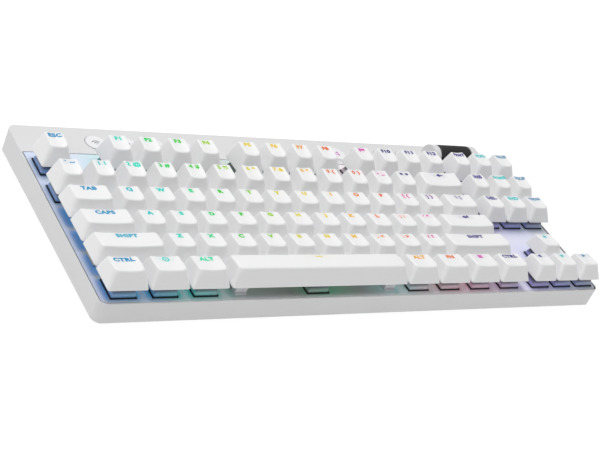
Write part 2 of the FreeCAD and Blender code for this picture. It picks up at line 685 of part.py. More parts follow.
# Control boards: under the left and the right buttons, with a push switch under each button.
CONTROL_TOP = -7.0
control_left = block(column_x(1.9), column_x(6.25), 53.5, 68.0, CONTROL_TOP - 1.6, CONTROL_TOP)
control_right = block(column_x(10.8), column_x(17.8), 53.5, 67.0, CONTROL_TOP - 1.6, CONTROL_TOP)
push_top = FLANGE_TOP - 1.6 - dim.button_travel - SLACK
pushes = []
for name, column in ROUND_BUTTONS:
    pushes.append(centred(4.5, 4.5, CONTROL_TOP - 0.5, push_top, column_x(column), dim.button_line))
control_left = control_left.fuse(pushes[:4]).removeSplitter()
control_right = control_right.fuse(pushes[4:]).removeSplitter()
nodes.append(part_feature("control_boards", Part.makeCompound([control_left, control_right]), deck_placement()))

# Volume roller: a drum on its axle, carried by the two shoulders of the strip; the encoder reads the axle.
volume_roller = doc.addObject("PartDesign::Body", "volume_roller")
volume_roller.Label = "volume_roller"
round_pad(volume_roller, "drum", "YZ_Plane", "dim.roller_radius", "dim.roller_length", -dim.roller_length / 2)
axle_start = -(shoulder_half - 1.4)
axle_length = f"{well_half + 3.6 - axle_start}"
round_pad(volume_roller, "axle", "YZ_Plane", "dim.axle_radius", axle_length, axle_start)
FLUTES = 24
FLUTE_DEPTH = 0.35
flute = volume_roller.newObject("PartDesign::SubtractiveCylinder", "flute")
flute.Radius = 0.5
flute.Height = dim.roller_length - 2.4
flute.Placement = Placement(
    Vector(-(dim.roller_length - 2.4) / 2, 0, dim.roller_radius + 0.5 - FLUTE_DEPTH),
    Rotation(Vector(0, 1, 0), 90),
)
doc.recompute()
flutes = volume_roller.newObject("PartDesign::PolarPattern", "flutes")
flutes.Originals = [flute]
roller_axes = [axis for axis in volume_roller.Origin.OriginFeatures if axis.Role == "X_Axis"]
flutes.Axis = (roller_axes[0], [""])
flutes.Angle = 360.0
flutes.Occurrences = FLUTES
volume_roller.Tip = flutes
volume_roller.Placement = deck_placement(dim.roller_x, dim.button_line, dim.roller_axis)
nodes.append(volume_roller)
encoder_case = block(ENCODER_X, ENCODER_X + 3.0, dim.button_line - 3.6, dim.button_line + 3.6, CONTROL_TOP, 4.7)
encoder_hole = cylinder(dim.axle_radius + dim.running_gap, roller_middle, roller_middle + along_x * 40)
nodes.append(part_feature("volume_encoder", encoder_case.cut(encoder_hole), deck_placement()))

# Back edge: charging socket on the left control board, and the power switch slider in its slot.
socket_can = block(PORT_X - 4.5, PORT_X + 4.5, 66.0, 74.2, CONTROL_TOP, CONTROL_TOP + 3.2)
socket_mouth = block(PORT_X - 4.1, PORT_X + 4.1, 68.0, 80.0, CONTROL_TOP + 0.3, CONTROL_TOP + 2.9)
socket_tongue = block(PORT_X - 3.3, PORT_X + 3.3, 67.0, 73.4, CONTROL_TOP + 1.25, CONTROL_TOP + 1.95)
charging_socket = socket_can.cut(socket_mouth).fuse(socket_tongue).removeSplitter()
nodes.append(part_feature("charging_socket", charging_socket, deck_placement()))
SLIDER_TRAVEL = 4.0
knob_x = SWITCH_X - SLIDER_TRAVEL / 2
slider_knob = centred(4.4, 2.6, -6.8, -4.0, knob_x, 73.6)
slider_plate = centred(12.0, 0.9, -7.9, -2.9, knob_x, 72.1)
nodes.append(part_feature("power_switch_slider", slider_knob.fuse(slider_plate).removeSplitter(), deck_placement()))

# Battery: a pouch cell lying on the floor between the two control boards.
battery = bound_box("battery", "70", "17", "6.5", f"{column_x(6.6)}", "53", "dim.base_height + dim.floor_thick")
nodes.append(battery)

# Case screws, driven from below into the posts of the top case.
screws = []
for x, v in SCREW_PLACES:
    y = screw_ground(v)
    head = cylinder(2.2, Vector(x, y, 1.1), Vector(x, y, 2.1))
    shank = cylinder(1.05, Vector(x, y, 2.0), Vector(x, y, 8.0))
    drive = prism(0.8, 0.0, 1.7, x, y)
    screws.append(head.fuse(shank).cut(drive).removeSplitter())
nodes.append(part_feature("case_screws", Part.makeCompound(screws)))

# Rubber pads, glued into shallow pockets of the bottom case.
pads = [pad_shape(0.0, 0.0, dim.base_height + PAD_SUNK, x, y) for x, y in PADS]
nodes.append(part_feature("rubber_feet", Part.makeCompound(pads)))

# Flip-out feet: a short and a tall one each side, folded forward into their pockets.
for name, x, length in FOOT_PLACES:
    body = doc.addObject("PartDesign::Body", name)
    body.Label = name
    leaf = body.newObject("PartDesign::AdditiveBox", name + "_leaf")
    leaf.setExpression("Length", "dim.foot_width")
    leaf.setExpression("Width", "dim.foot_tall" if length == dim.foot_tall else "dim.foot_short")
    leaf.setExpression("Height", "dim.foot_thick")
    leaf.Placement = Placement(Vector(-dim.foot_width / 2, -length, -dim.foot_thick / 2), Rotation())
    half = dim.foot_width / 2
    round_pad(body, name + "_barrel", "YZ_Plane", "dim.foot_thick / 2", "dim.foot_width", -half)
    round_pad(body, name + "_pin", "YZ_Plane", "dim.pin_radius", "dim.foot_width + 3", -half - 1.5)
    body.Placement = Placement(Vector(x, dim.foot_hinge_y, dim.foot_hinge_z), Rotation())
    nodes.append(body)

doc.recompute()

for item in doc.Objects:
    if "Invalid" in item.State or "Error" in item.State:
        raise RuntimeError(f"{item.Name} failed: {item.State}")

os.makedirs("parts", exist_ok=True)
for node in nodes:
    shape = node.Shape
    if shape.isNull() or not shape.isValid() or not shape.Solids:
        raise RuntimeError(f"{node.Label} has no valid solid")
    shape.exportStep(f"parts/{node.Label}.step")
    print(node.Label, len(shape.Solids), round(shape.Volume, 1))
print(len(nodes), "nodes")
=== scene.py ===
import math

import bmesh
import bpy
import numpy as np
from mathutils import Matrix, Vector


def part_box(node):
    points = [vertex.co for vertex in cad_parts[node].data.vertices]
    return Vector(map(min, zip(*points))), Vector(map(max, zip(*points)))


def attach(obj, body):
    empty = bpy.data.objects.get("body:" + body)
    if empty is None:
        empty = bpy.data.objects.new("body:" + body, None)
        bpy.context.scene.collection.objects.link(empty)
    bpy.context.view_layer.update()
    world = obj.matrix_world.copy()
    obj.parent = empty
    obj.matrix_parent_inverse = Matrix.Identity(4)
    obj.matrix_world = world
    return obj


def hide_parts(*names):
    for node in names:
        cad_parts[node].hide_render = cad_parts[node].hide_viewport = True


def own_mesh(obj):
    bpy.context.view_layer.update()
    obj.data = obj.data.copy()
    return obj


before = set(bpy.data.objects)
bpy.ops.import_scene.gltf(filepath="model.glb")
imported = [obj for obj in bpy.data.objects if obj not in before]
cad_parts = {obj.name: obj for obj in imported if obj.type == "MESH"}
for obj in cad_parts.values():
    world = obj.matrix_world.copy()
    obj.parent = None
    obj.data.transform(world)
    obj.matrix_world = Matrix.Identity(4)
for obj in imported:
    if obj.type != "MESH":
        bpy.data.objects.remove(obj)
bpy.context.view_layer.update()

# ---- Studio ----
# A pale matt floor with a wide soft light overhead and a weaker one from the left. The camera stands in
# front of the left corner, well above the desk, with a long lens, and is rolled so that the board runs
# down to the left.
FLOOR_HALF = 6.0
FLOOR_DROP = 0.0001


def studio_floor():
    """A flat grid; only its size matters."""
    mesh = bpy.data.meshes.new("studio_floor")
    corners = [(-1, -1), (1, -1), (1, 1), (-1, 1)]
    mesh.from_pydata([(x * FLOOR_HALF, y * FLOOR_HALF, -FLOOR_DROP) for x, y in corners], [], [(0, 1, 2, 3)])
    floor = bpy.data.objects.new("studio_floor", mesh)
    bpy.context.scene.collection.objects.link(floor)
    material = bpy.data.materials.new("studio_floor")
    material.use_nodes = True
    shader = material.node_tree.nodes["Principled BSDF"]
    shader.inputs["Base Color"].default_value = (0.25, 0.25, 0.25, 1)
    shader.inputs["Roughness"].default_value = 0.9
    shader.inputs["Specular IOR Level"].default_value = 0.1
    shader.inputs["Emission Color"].default_value = (1, 1, 1, 1)
    shader.inputs["Emission Strength"].default_value = 0.84
    mesh.materials.append(material)


def soft_light(name, place, aim, size, watts):
    """A square area light that faces the aim point."""
    light = bpy.data.lights.new(name, "AREA")
    light.size = size
    light.energy = watts
    lamp = bpy.data.objects.new(name, light)
    lamp.location = place
    lamp.rotation_euler = (Vector(aim) - Vector(place)).to_track_quat("-Z", "Y").to_euler()
    bpy.context.scene.collection.objects.link(lamp)


studio_floor()
soft_light("overhead_light", (-0.1, 0.4, 1.6), (0, 0, 0), 1.4, 23.0)
soft_light("left_light", (-1.5, -0.2, 0.7), (0, 0, 0), 1.0, 1.8)
world = bpy.data.worlds.new("studio_air")
world.use_nodes = True
world.node_tree.nodes["Background"].inputs["Color"].default_value = (1.0, 1.0, 1.0, 1)
world.node_tree.nodes["Background"].inputs["Strength"].default_value = 0.33
bpy.context.scene.world = world
bpy.context.scene.view_settings.view_transform = "Standard"

EYE = Vector((-0.47796, -0.51833, 0.41293))
GAZE = Vector((0.5769, 0.6419, -0.5052))
ROLL = math.radians(24.9)
lens = bpy.data.cameras.new("camera")
lens.lens = 81.4
lens.sensor_width = 36.0
lens.clip_end = 30.0
camera = bpy.data.objects.new("camera", lens)
level = GAZE.to_track_quat("-Z", "Y").to_matrix().to_4x4()
camera.matrix_world = Matrix.Translation(EYE) @ level @ Matrix.Rotation(ROLL, 4, "Z")
bpy.context.scene.collection.objects.link(camera)
bpy.context.scene.camera = camera

# ---- Top case ----
# The upper shell is one white plastic moulding, with a satin surface of fine spark-eroded grain. It is
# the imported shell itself, its facets merged and every edge given the small radius that a mould leaves.


def new_surface(name):
    """A new material with a shader."""
    material = bpy.data.materials.new(name)
    material.use_nodes = True
    return material


def add_node(material, kind, **values):
    """A new shader node with its values. An underscore stands for the blank in a socket's name."""
    node = material.node_tree.nodes.new("ShaderNode" + kind)
    for socket, value in values.items():
        node.inputs[socket.replace("_", " ")].default_value = value
    return node


def colour_mix(material, **colours):
    """A new mix node for colours, with the colours given for its A and B sides."""
    mix = material.node_tree.nodes.new("ShaderNodeMix")
    mix.data_type = "RGBA"
    for side, colour in colours.items():
        mix.inputs[side].default_value = (*colour, 1)
    return mix


def textured(material, slow, fine, colours, gloss, relief):
    """One noise moves the colour and the gloss between two values each, and another lifts the surface."""
    link = material.node_tree.links.new
    shader = material.node_tree.nodes["Principled BSDF"]
    tone = colour_mix(material, A=colours[0], B=colours[1])
    polish = add_node(material, "MapRange", To_Min=gloss[0], To_Max=gloss[1])
    bump = add_node(material, "Bump", Strength=relief[0], Distance=relief[1])
    link(slow.outputs["Fac"], tone.inputs["Factor"])
    link(tone.outputs["Result"], shader.inputs["Base Color"])
    link(slow.outputs["Fac"], polish.inputs["Value"])
    link(polish.outputs["Result"], shader.inputs["Roughness"])
    link(fine.outputs["Fac"], bump.inputs["Height"])
    link(bump.outputs["Normal"], shader.inputs["Normal"])


def moulded(name, colour, roughness, grain=0.06, mottle=0.03, grain_size=0.00028):
    """Moulded plastic: a fine grain lifts the surface, and slow noise shifts its colour and gloss."""
    material = new_surface(name)
    place = add_node(material, "TexCoord")
    fine = add_node(material, "TexNoise", Scale=1.0 / grain_size, Detail=3.0)
    slow = add_node(material, "TexNoise", Scale=45.0, Detail=4.0)
    for noise in (fine, slow):
        material.node_tree.links.new(place.outputs["Object"], noise.inputs["Vector"])
    colours = (colour, [c * (1 - mottle) for c in colour])
    textured(material, slow, fine, colours, (roughness - 0.05, roughness + 0.05), (grain, grain_size))
    return material


def dress(node, material):
    """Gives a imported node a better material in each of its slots."""
    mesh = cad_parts[node].data
    if not mesh.materials:
        mesh.materials.append(material)
    for index in range(len(mesh.materials)):
        mesh.materials[index] = material


def place_piece(name, mesh, material, body):
    """Puts a finished mesh into the scene, riding on its body."""
    mesh.materials.append(material)
    mesh.polygons.foreach_set("use_smooth", [True] * len(mesh.polygons))
    piece = bpy.data.objects.new(name, mesh)
    bpy.context.scene.collection.objects.link(piece)
    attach(piece, body)
    return piece


def softened(node, name, radius, material, body):
    """The node's own shape: its triangles merged, flat ones joined, and its edges rounded by a bevel."""
    mesh = bpy.data.meshes.new(name)
    shape = bmesh.new()
    shape.from_mesh(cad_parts[node].data)
    bmesh.ops.remove_doubles(shape, verts=shape.verts, dist=2e-6)
    bmesh.ops.dissolve_limit(shape, angle_limit=math.radians(0.5), verts=shape.verts, edges=shape.edges)
    shape.to_mesh(mesh)
    shape.free()
    piece = place_piece(name, mesh, material, body)
    mesh.set_sharp_from_angle(angle=math.radians(30))
    rounding = piece.modifiers.new("rounding", "BEVEL")
    rounding.width = radius
    rounding.segments = 2
    rounding.limit_method = "ANGLE"
    rounding.angle_limit = math.radians(40)
    rounding.harden_normals = True
    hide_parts(node)


case_white = moulded("case_white", (0.73, 0.73, 0.735), 0.42)
softened("top_case", "case_shell", 0.0003, case_white, "case")

# ---- Underside ----
# The bottom case is the same plastic, a shade greyer and coarser. Rubber pads are glued into its
# pockets, screws are sunk in from below, and two pairs of flip-out feet lie folded in their own
# pockets.
base_grey = moulded("base_grey", (0.70, 0.70, 0.72), 0.55, grain=0.12, grain_size=0.0005)
foot_grey = moulded("foot_grey", (0.66, 0.66, 0.69), 0.5, grain=0.08)
pad_rubber = moulded("pad_rubber", (0.045, 0.045, 0.048), 0.8, grain=0.2, mottle=0.3, grain_size=0.0004)
softened("bottom_case", "case_base", 0.00025, base_grey, "case")
softened("rubber_feet", "desk_pads", 0.0003, pad_rubber, "case")
for foot in ("left_tall_foot", "left_short_foot", "right_short_foot", "right_tall_foot"):
    softened(foot, foot + "_leaf", 0.0003, foot_grey, foot)


def worked_metal(name, colour, roughness):
    """Drawn or brushed metal: noise stretched along X varies the gloss and scores the surface."""
    material = new_surface(name)
    material.node_tree.nodes["Principled BSDF"].inputs["Metallic"].default_value = 1.0
    place = add_node(material, "TexCoord")
    stretch = add_node(material, "Mapping", Scale=(300.0, 4000.0, 4000.0))
    score = add_node(material, "TexNoise", Scale=1.0, Detail=2.0)
    material.node_tree.links.new(place.outputs["Object"], stretch.inputs["Vector"])
    material.node_tree.links.new(stretch.outputs["Vector"], score.inputs["Vector"])
    colours = (colour, [c * 0.85 for c in colour])
    textured(material, score, score, colours, (roughness - 0.08, roughness + 0.1), (0.3, 0.00003))
    return material


dress("case_screws", worked_metal("blackened_steel", (0.10, 0.10, 0.11), 0.45))

# ---- Deck ----
# The keys stand on a deck that leans up to the back. Its own measures are x along the rows, v up the
# deck and w out of it, in millimetres, from the middle of the plate's top face. The caps' places come
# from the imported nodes.
MM = 0.001
LEAN = math.radians(0.8)
DECK_LIFT = 14.38
DECK_SHIFT = -0.1
SKIRT = 7.0
CAP_GAP = 0.95
CAP_DEPTH = 18.1


def from_deck(points):
    """Deck millimetres to the row frame in metres: turned about X by the lean, then lifted."""
    x, v, w = np.moveaxis(np.asarray(points, float), -1, 0)
    y = v * math.cos(LEAN) - w * math.sin(LEAN) + DECK_SHIFT
    z = v * math.sin(LEAN) + w * math.cos(LEAN) + DECK_LIFT
    return np.stack([x, y, z], axis=-1) * MM


# node: height profile, and one legend for each cap from left to right
KEYS = {
    "key_escape": ("function", ["ESC"]),
    "keys_function_1_to_4": ("function", ["F1", "F2", "F3", "F4"]),
    "keys_function_5_to_8": ("function", ["F5", "F6", "F7", "F8"]),
    "keys_function_9_to_12": ("function", ["F9", "F10", "F11", "F12"]),
    "keys_print_to_pause": ("function", ["PRNT", "SCRL", "PAUS"]),
    "keys_number_row": (
        "number",
        ["` ~", "1 !", "2 @", "3 #", "4 $", "5 %", "6 ^", "7 &", "8 *", "9 (", "0 )", "- _", "= +"],
    ),
    "key_backspace": ("number", ["erase"]),
    "keys_navigation_upper": ("number", ["INS", "HOME", "PGUP"]),
    "key_tab": ("upper", ["TAB"]),
    "keys_upper_row": ("upper", ["Q", "W", "E", "R", "T", "Y", "U", "I", "O", "P", "[ {", "] }"]),
    "key_backslash": ("upper", ["\\ |"]),
    "keys_navigation_lower": ("upper", ["DEL", "END", "PGDN"]),
    "key_caps_lock": ("home", ["CAPS"]),
    "keys_home_row": ("home", ["A", "S", "D", "F", "G", "H", "J", "K", "L", "; :", "' \""]),
    "key_enter": ("home", ["return"]),
    "key_left_shift": ("lower", ["SHIFT"]),
    "keys_lower_row": ("lower", ["Z", "X", "C", "V", "B", "N", "M", ", <", ". >", "/ ?"]),
    "key_right_shift": ("lower", ["SHIFT"]),
    "key_arrow_up": ("lower", ["up"]),
    "key_left_control": ("base", ["CTRL"]),
    "key_left_system": ("base", ["ring"]),
    "key_left_alt": ("base", ["ALT"]),
    "key_space_bar": ("space", ["dash"]),
    "key_right_alt": ("base", ["ALT"]),
    "key_function": ("base", ["FN"]),
    "key_menu": ("base", ["menu"]),
    "key_right_control": ("base", ["CTRL"]),
    "key_arrow_left": ("base", ["left"]),
    "key_arrow_down": ("base", ["down"]),
    "key_arrow_right": ("base", ["right"]),
}


def cap_places(node):
    """Width of each cap of a node, and the deck places of their middles, from the node's box."""
    low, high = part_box(node)
    count = len(KEYS[node][1])
    cell = ((high.x - low.x) / MM + CAP_GAP) / count
    front = (low.y / MM - DECK_SHIFT + SKIRT * math.sin(LEAN)) / math.cos(LEAN)
    first = low.x / MM - CAP_GAP / 2
    return cell - CAP_GAP, [(first + (k + 0.5) * cell, front + CAP_DEPTH / 2) for k in range(count)]


all_caps = []
for node in KEYS:
    width, middles = cap_places(node)
    all_caps += [(x, v, width) for x, v in middles]
all_caps = np.array(all_caps)

LONG_KEY = 35.0
SPACE_KEY = 100.0


def stabiliser_places(x, v, width):
    """Where a long key's two stabilisers stand, each side of its middle; a short key has none."""
    if width < LONG_KEY:
        return []
    reach = 50.0 if width > SPACE_KEY else 11.9
    return [(x - reach, v), (x + reach, v)]


stabilisers = np.array([place for x, v, width in all_caps for place in stabiliser_places(x, v, width)])

# ---- Light colours ----
# Every switch has a coloured light. The colour changes along the rows, from blue through green, yellow,
# red and violet to light blue. The plate and the housings, which daylight washes out, show it much
# paler than the legends. The band below is painted light on the plate and the housings, and its dim
# greyish stops are painted shade under the caps.
SWITCH_LIGHT_AND_SHADE_BAND = [
    (-174, (0.15, 0.38, 0.94)),
    (-160, (0.10, 0.56, 0.98)),
    (-146, (0.06, 0.50, 0.96)),
    (-130, (0.03, 0.72, 0.72)),
    (-112, (0.16, 0.80, 0.74)),
    (-92, (0.36, 0.44, 0.40)),
    (-60, (0.26, 0.30, 0.26)),
    (-38, (0.10, 0.50, 0.26)),
    (-12, (0.34, 0.37, 0.35)),
    (14, (0.46, 0.86, 0.84)),
    (32, (0.90, 0.82, 0.84)),
    (60, (1.10, 0.62, 0.72)),
    (84, (1.05, 0.66, 0.90)),
    (104, (0.72, 0.62, 1.00)),
    (125, (0.42, 0.38, 1.00)),
    (148, (0.34, 0.42, 0.96)),
    (174, (0.34, 0.48, 0.66)),
]
BAND_HALF = 174.0


def attribute_value(material, name):
    """The output of a point attribute of the mesh."""
    source = add_node(material, "Attribute")
    source.attribute_name = name
    return source.outputs["Fac"]


def set_attribute(mesh, name, values):
    """Writes one number for each point of the mesh, for its material to read."""
    layer = mesh.attributes.new(name, "FLOAT", "POINT")
    layer.data.foreach_set("value", np.asarray(values, np.float32))


def band_colour(material, stops, source, half):
    """A colour band: a coordinate, scaled from the band's two ends to 0 and 1, through a colour ramp."""
    along = add_node(material, "MapRange", From_Min=-half, From_Max=half)
    band = add_node(material, "ValToRGB")
    marks = band.color_ramp.elements
    while len(marks) < len(stops):
        marks.new(0.5)
    for mark, (position, colour) in zip(marks, stops):
        mark.position = (position / BAND_HALF + 1) / 2
        mark.color = (*colour, 1)
    material.node_tree.links.new(source, along.inputs["Value"])
    material.node_tree.links.new(along.outputs["Result"], band.inputs["Fac"])
    return band.outputs["Color"]


def light_glow(material, colour, tint, strength):
    """The "glow" attribute blends the surface's own colour into the light's colour, and lets it shine a
    little: painted switch light, with painted shade where the band's colour is dim."""
    link = material.node_tree.links.new
    shader = material.node_tree.nodes["Principled BSDF"]
    place = add_node(material, "TexCoord")
    split = add_node(material, "SeparateXYZ")
    link(place.outputs["Object"], split.inputs["Vector"])
    band = band_colour(material, SWITCH_LIGHT_AND_SHADE_BAND, split.outputs["X"], BAND_HALF * MM)
    amount = attribute_value(material, "glow")
    mix = colour_mix(material, A=colour)
    scaled = []
    for factor in (tint, strength):
        scale = add_node(material, "Math")
        scale.operation = "MULTIPLY"
        scale.inputs[1].default_value = factor
        link(amount, scale.inputs[0])
        scaled.append(scale.outputs["Value"])
    link(scaled[0], mix.inputs["Factor"])
    link(scaled[1], shader.inputs["Emission Strength"])
    link(band, mix.inputs["B"])
    link(band, shader.inputs["Emission Color"])
    link(mix.outputs["Result"], shader.inputs["Base Color"])


GLOW_INSET = 3.6
GLOW_FADE = 3.0
SPILL = 0.3
SPILL_REACH = 18.0


def under_caps(x, v):
    """How much switch light a deck place gets: 1 from the inset inside a cap's edge, falling by a bell
    curve to the weak light that spills out, which falls by a wider one."""
    share = np.zeros(np.shape(x))
    for cap_x, cap_v, width in all_caps:
        over_x = np.abs(x - cap_x) - width / 2 + GLOW_INSET
        over_v = np.abs(v - cap_v) - CAP_DEPTH / 2 + GLOW_INSET
        away = np.hypot(np.maximum(over_x, 0), np.maximum(over_v, 0))
        share = np.maximum(share, np.exp(-((away / GLOW_FADE) ** 2)))
        share = np.maximum(share, SPILL * np.exp(-((away / SPILL_REACH) ** 2)))
    return share


# ---- Switch plate ----
# A sheet of aluminium, painted satin white, punched with a square hole for each switch and a longer one
# for each stabiliser. Its upper edge is chamfered bright. The switch lights are painted onto it as colour
# under the caps, together with painted shade there.
PLATE_THICK = 1.5
PLATE_CHAMFER = 0.35
FRONT_CORNER = 2.8
BACK_CORNER = 0.9
SWITCH_HOLE = (14.0, 14.0)
STABILISER_HOLE = (6.8, 12.4)


def sheet_lines(low, high, marks, step):
    """Grid lines from low to high: every mark, and filler lines so that no cell is wider than the step."""
    marks = np.unique(np.round(np.concatenate([[low, high], marks]), 4))
    gaps = zip(marks[:-1], marks[1:])
    lines = [np.linspace(a, b, max(1, math.ceil((b - a) / step)) + 1)[:-1] for a, b in gaps]
    return np.append(np.concatenate(lines), high)


def punched_plate():
    """A flat grid of cells whose lines run along every hole edge. Cells in a hole are dropped, points
    in a corner square are drawn onto its quarter circle by max(p, q) / hypot(p, q), and the outermost
    line is lowered."""
    low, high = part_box("switch_plate")
    x0, x1 = low.x / MM, high.x / MM
    v0 = (low.y / MM - DECK_SHIFT) / math.cos(LEAN)
    v1 = (high.y / MM - DECK_SHIFT - PLATE_THICK * math.sin(LEAN)) / math.cos(LEAN)
    holes = [(x, v, *SWITCH_HOLE) for x, v, _ in all_caps]
    holes = np.array(holes + [(x, v, *STABILISER_HOLE) for x, v in stabilisers])
    edges_x = np.concatenate([holes[:, 0] - holes[:, 2] / 2, holes[:, 0] + holes[:, 2] / 2])
    edges_v = np.concatenate([holes[:, 1] - holes[:, 3] / 2, holes[:, 1] + holes[:, 3] / 2])
    front_rim = np.array([PLATE_CHAMFER, FRONT_CORNER / 3, FRONT_CORNER * 2 / 3, FRONT_CORNER])
    back_rim = np.array([PLATE_CHAMFER, BACK_CORNER])
    xs = sheet_lines(x0, x1, np.concatenate([edges_x, x0 + front_rim, x1 - front_rim]), 2.5)
    vs = sheet_lines(v0, v1, np.concatenate([edges_v, v0 + front_rim, v1 - back_rim]), 2.0)
    grid_x, grid_v = np.meshgrid(xs, vs, indexing="ij")
    corner = np.where(grid_v < (v0 + v1) / 2, FRONT_CORNER, BACK_CORNER)
    p = np.maximum(np.abs(grid_x - (x0 + x1) / 2) - ((x1 - x0) / 2 - corner), 0)
    q = np.maximum(np.abs(grid_v - (v0 + v1) / 2) - ((v1 - v0) / 2 - corner), 0)
    pull = np.where((p > 0) & (q > 0), np.maximum(p, q) / np.maximum(np.hypot(p, q), 1e-9), 1.0)
    border = np.minimum(corner - p, corner - q)
    drop = np.where(border < 1e-6, PLATE_CHAMFER, 0.0)
    flat_x = grid_x - np.sign(grid_x - (x0 + x1) / 2) * p * (1 - pull)
    flat_v = grid_v - np.sign(grid_v - (v0 + v1) / 2) * q * (1 - pull)
    middle_x = (xs[:-1] + xs[1:])[:, None] / 2
    middle_v = (vs[:-1] + vs[1:])[None, :] / 2
    solid = np.ones((len(xs) - 1, len(vs) - 1), bool)
    for x, v, size_x, size_v in holes:
        solid &= ~((np.abs(middle_x - x) < size_x / 2) & (np.abs(middle_v - v) < size_v / 2))
    i, j = np.nonzero(solid)
    rows = len(vs)
    upper = np.stack([i * rows + j, (i + 1) * rows + j, (i + 1) * rows + j + 1, i * rows + j + 1], axis=1)
    lift = len(xs) * rows
    lower = upper[:, ::-1] + lift
    sides = np.concatenate([np.stack([upper[:, k], upper[:, (k + 1) % 4]], axis=1) for k in range(4)])
    key = np.sort(sides, axis=1)
    _, first, count = np.unique(key, axis=0, return_index=True, return_counts=True)
    border_edges = sides[first[count == 1]]
    a, b = border_edges[:, 0], border_edges[:, 1]
    walls = np.stack([b, a, a + lift, b + lift], axis=1)
    top = np.stack([flat_x, flat_v, -drop], axis=-1).reshape(-1, 3)
    bottom = np.stack([flat_x, flat_v, np.full(flat_x.shape, -PLATE_THICK)], axis=-1).reshape(-1, 3)
    points = np.concatenate([top, bottom])
    faces = np.concatenate([upper, lower, walls])
    used, inverse = np.unique(faces, return_inverse=True)
    mesh = bpy.data.meshes.new("plate_sheet")
    mesh.from_pydata(from_deck(points[used]).tolist(), [], inverse.reshape(faces.shape).tolist())
    set_attribute(mesh, "glow", under_caps(points[used, 0], points[used, 1]))
    return mesh


plate_white = moulded("plate_white", (0.84, 0.84, 0.86), 0.32, grain=0.04, mottle=0.02)
# Painted switch light and painted shade under the caps, set by the glow attribute.
light_glow(plate_white, (0.84, 0.84, 0.87), 0.9, 0.14)
plate = place_piece("plate_sheet", punched_plate(), plate_white, "case")
plate.data.set_sharp_from_angle(angle=math.radians(20))
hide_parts("switch_plate")

# ---- Gap shade strip ----
# A black strip fills the gap between the plate and the case rim along the sides and the front: painted
# shade, a dark sheet put where the gap holds only shadow. It lies nearly level with the plate at the
# corners and a little lower along the middle of the front.
GAP_SHADE_HALF = 0.27
GAP_SHADE_SUNK = 0.08
GAP_SHADE_DIP = 0.4
GAP_SHADE_DIP_LENGTH = 60.0
GAP_SHADE_FLOOR = -3.3


def tube_faces(rows, columns, wrap_rows=False, first=0):
    """Quads of a grid whose columns close on themselves, and whose rows may too."""
    r = np.arange(rows if wrap_rows else rows - 1)[:, None]
    u = np.arange(columns)[None, :]
    below, beside = (r + 1) % rows, (u + 1) % columns
    corners = [r * columns + u, below * columns + u, below * columns + beside, r * columns + beside]
    return first + np.stack([np.broadcast_to(c, (len(r), columns)) for c in corners], axis=-1).reshape(-1, 4)


def gap_shade_strip():
    """A rectangular section carried along the U-shaped middle line of the gap: down the left side,
    round a quarter circle, along the front, round another and up the right side. The top dips by a
    smooth step of the distance from the corners."""
    low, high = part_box("switch_plate")
    half = (high.x - low.x) / 2 / MM
    front = (low.y / MM - DECK_SHIFT) / math.cos(LEAN)
    back = (high.y / MM - DECK_SHIFT) / math.cos(LEAN) - BACK_CORNER
    angle = np.linspace(0, math.pi / 2, 9)
    corner_x = -half + FRONT_CORNER - FRONT_CORNER * np.cos(angle)
    corner_v = front + FRONT_CORNER - FRONT_CORNER * np.sin(angle)
    side_v = np.linspace(back, front + FRONT_CORNER, 24)[:-1]
    front_x = np.linspace(-half + FRONT_CORNER, 0, 33)[1:]
    path_x = np.concatenate([np.full(len(side_v), -half), corner_x, front_x])
    path_v = np.concatenate([side_v, corner_v, np.full(len(front_x), front)])
    out_x = np.concatenate([np.full(len(side_v), -1.0), -np.cos(angle), np.zeros(len(front_x))])
    out_v = np.concatenate([np.zeros(len(side_v)), -np.sin(angle), np.full(len(front_x), -1.0)])
    along = np.clip((path_x + half - FRONT_CORNER) / GAP_SHADE_DIP_LENGTH, 0, 1)
    top = -GAP_SHADE_SUNK - GAP_SHADE_DIP * along * along * (3 - 2 * along)
    left = [path_x, path_v, out_x, out_v, top]
    right = [-path_x, path_v, -out_x, out_v, top]
    x, v, nx, nv, top = (np.concatenate([a, b[::-1][1:]]) for a, b in zip(left, right))
    rings = []
    floor = np.full(len(top), GAP_SHADE_FLOOR)
    for side, height in ((0.01, top), (2 * GAP_SHADE_HALF, top), (2 * GAP_SHADE_HALF, floor), (0.01, floor)):
        rings.append(np.stack([x + nx * side, v + nv * side, height], axis=1))
    grid = np.stack(rings, axis=1)
    points = grid.reshape(-1, 3)
    faces = tube_faces(len(x), 4)[:, ::-1].tolist()
    faces += [(0, 1, 2, 3), tuple(len(points) - k for k in (1, 2, 3, 4))]
    mesh = bpy.data.meshes.new("plate_gap_shade")
    mesh.from_pydata(from_deck(points).tolist(), [], faces)
    return mesh


# Painted shade: this black stands for the shadow in the gap round the plate.
gap_shade_black = moulded("gap_shade_black", (0.018, 0.018, 0.020), 0.9, grain=0.5, mottle=0.4, grain_size=0.0002)
gap_shade_piece = place_piece("plate_gap_shade", gap_shade_strip(), gap_shade_black, "case")
gap_shade_piece.data.set_sharp_from_angle(angle=math.radians(40))

# ---- Switches ----
# Each switch is two mouldings clipped together: a black lower housing whose flange lies on the plate,
# and a smoky see-through upper housing that the light under it colours. Its colour is painted switch
# light low down and painted shade from the cap near its top. A coil spring stands on the lower one.


def repeated(name, points, faces, places):
    """One mesh with the same shape at every (x, v) place on the deck."""
    places = np.asarray(places, float)
    shifts = np.concatenate([places, np.zeros((len(places), 1))], axis=1)
    cloud = (points[None, :, :] + shifts[:, None, :]).reshape(-1, 3)
    steps = (np.arange(len(places)) * len(points))[:, None, None]
    all_faces = (faces[None, :, :] + steps).reshape(-1, faces.shape[1])
    mesh = bpy.data.meshes.new(name)
    mesh.from_pydata(from_deck(cloud).tolist(), [], all_faces.tolist())
    return mesh, cloud


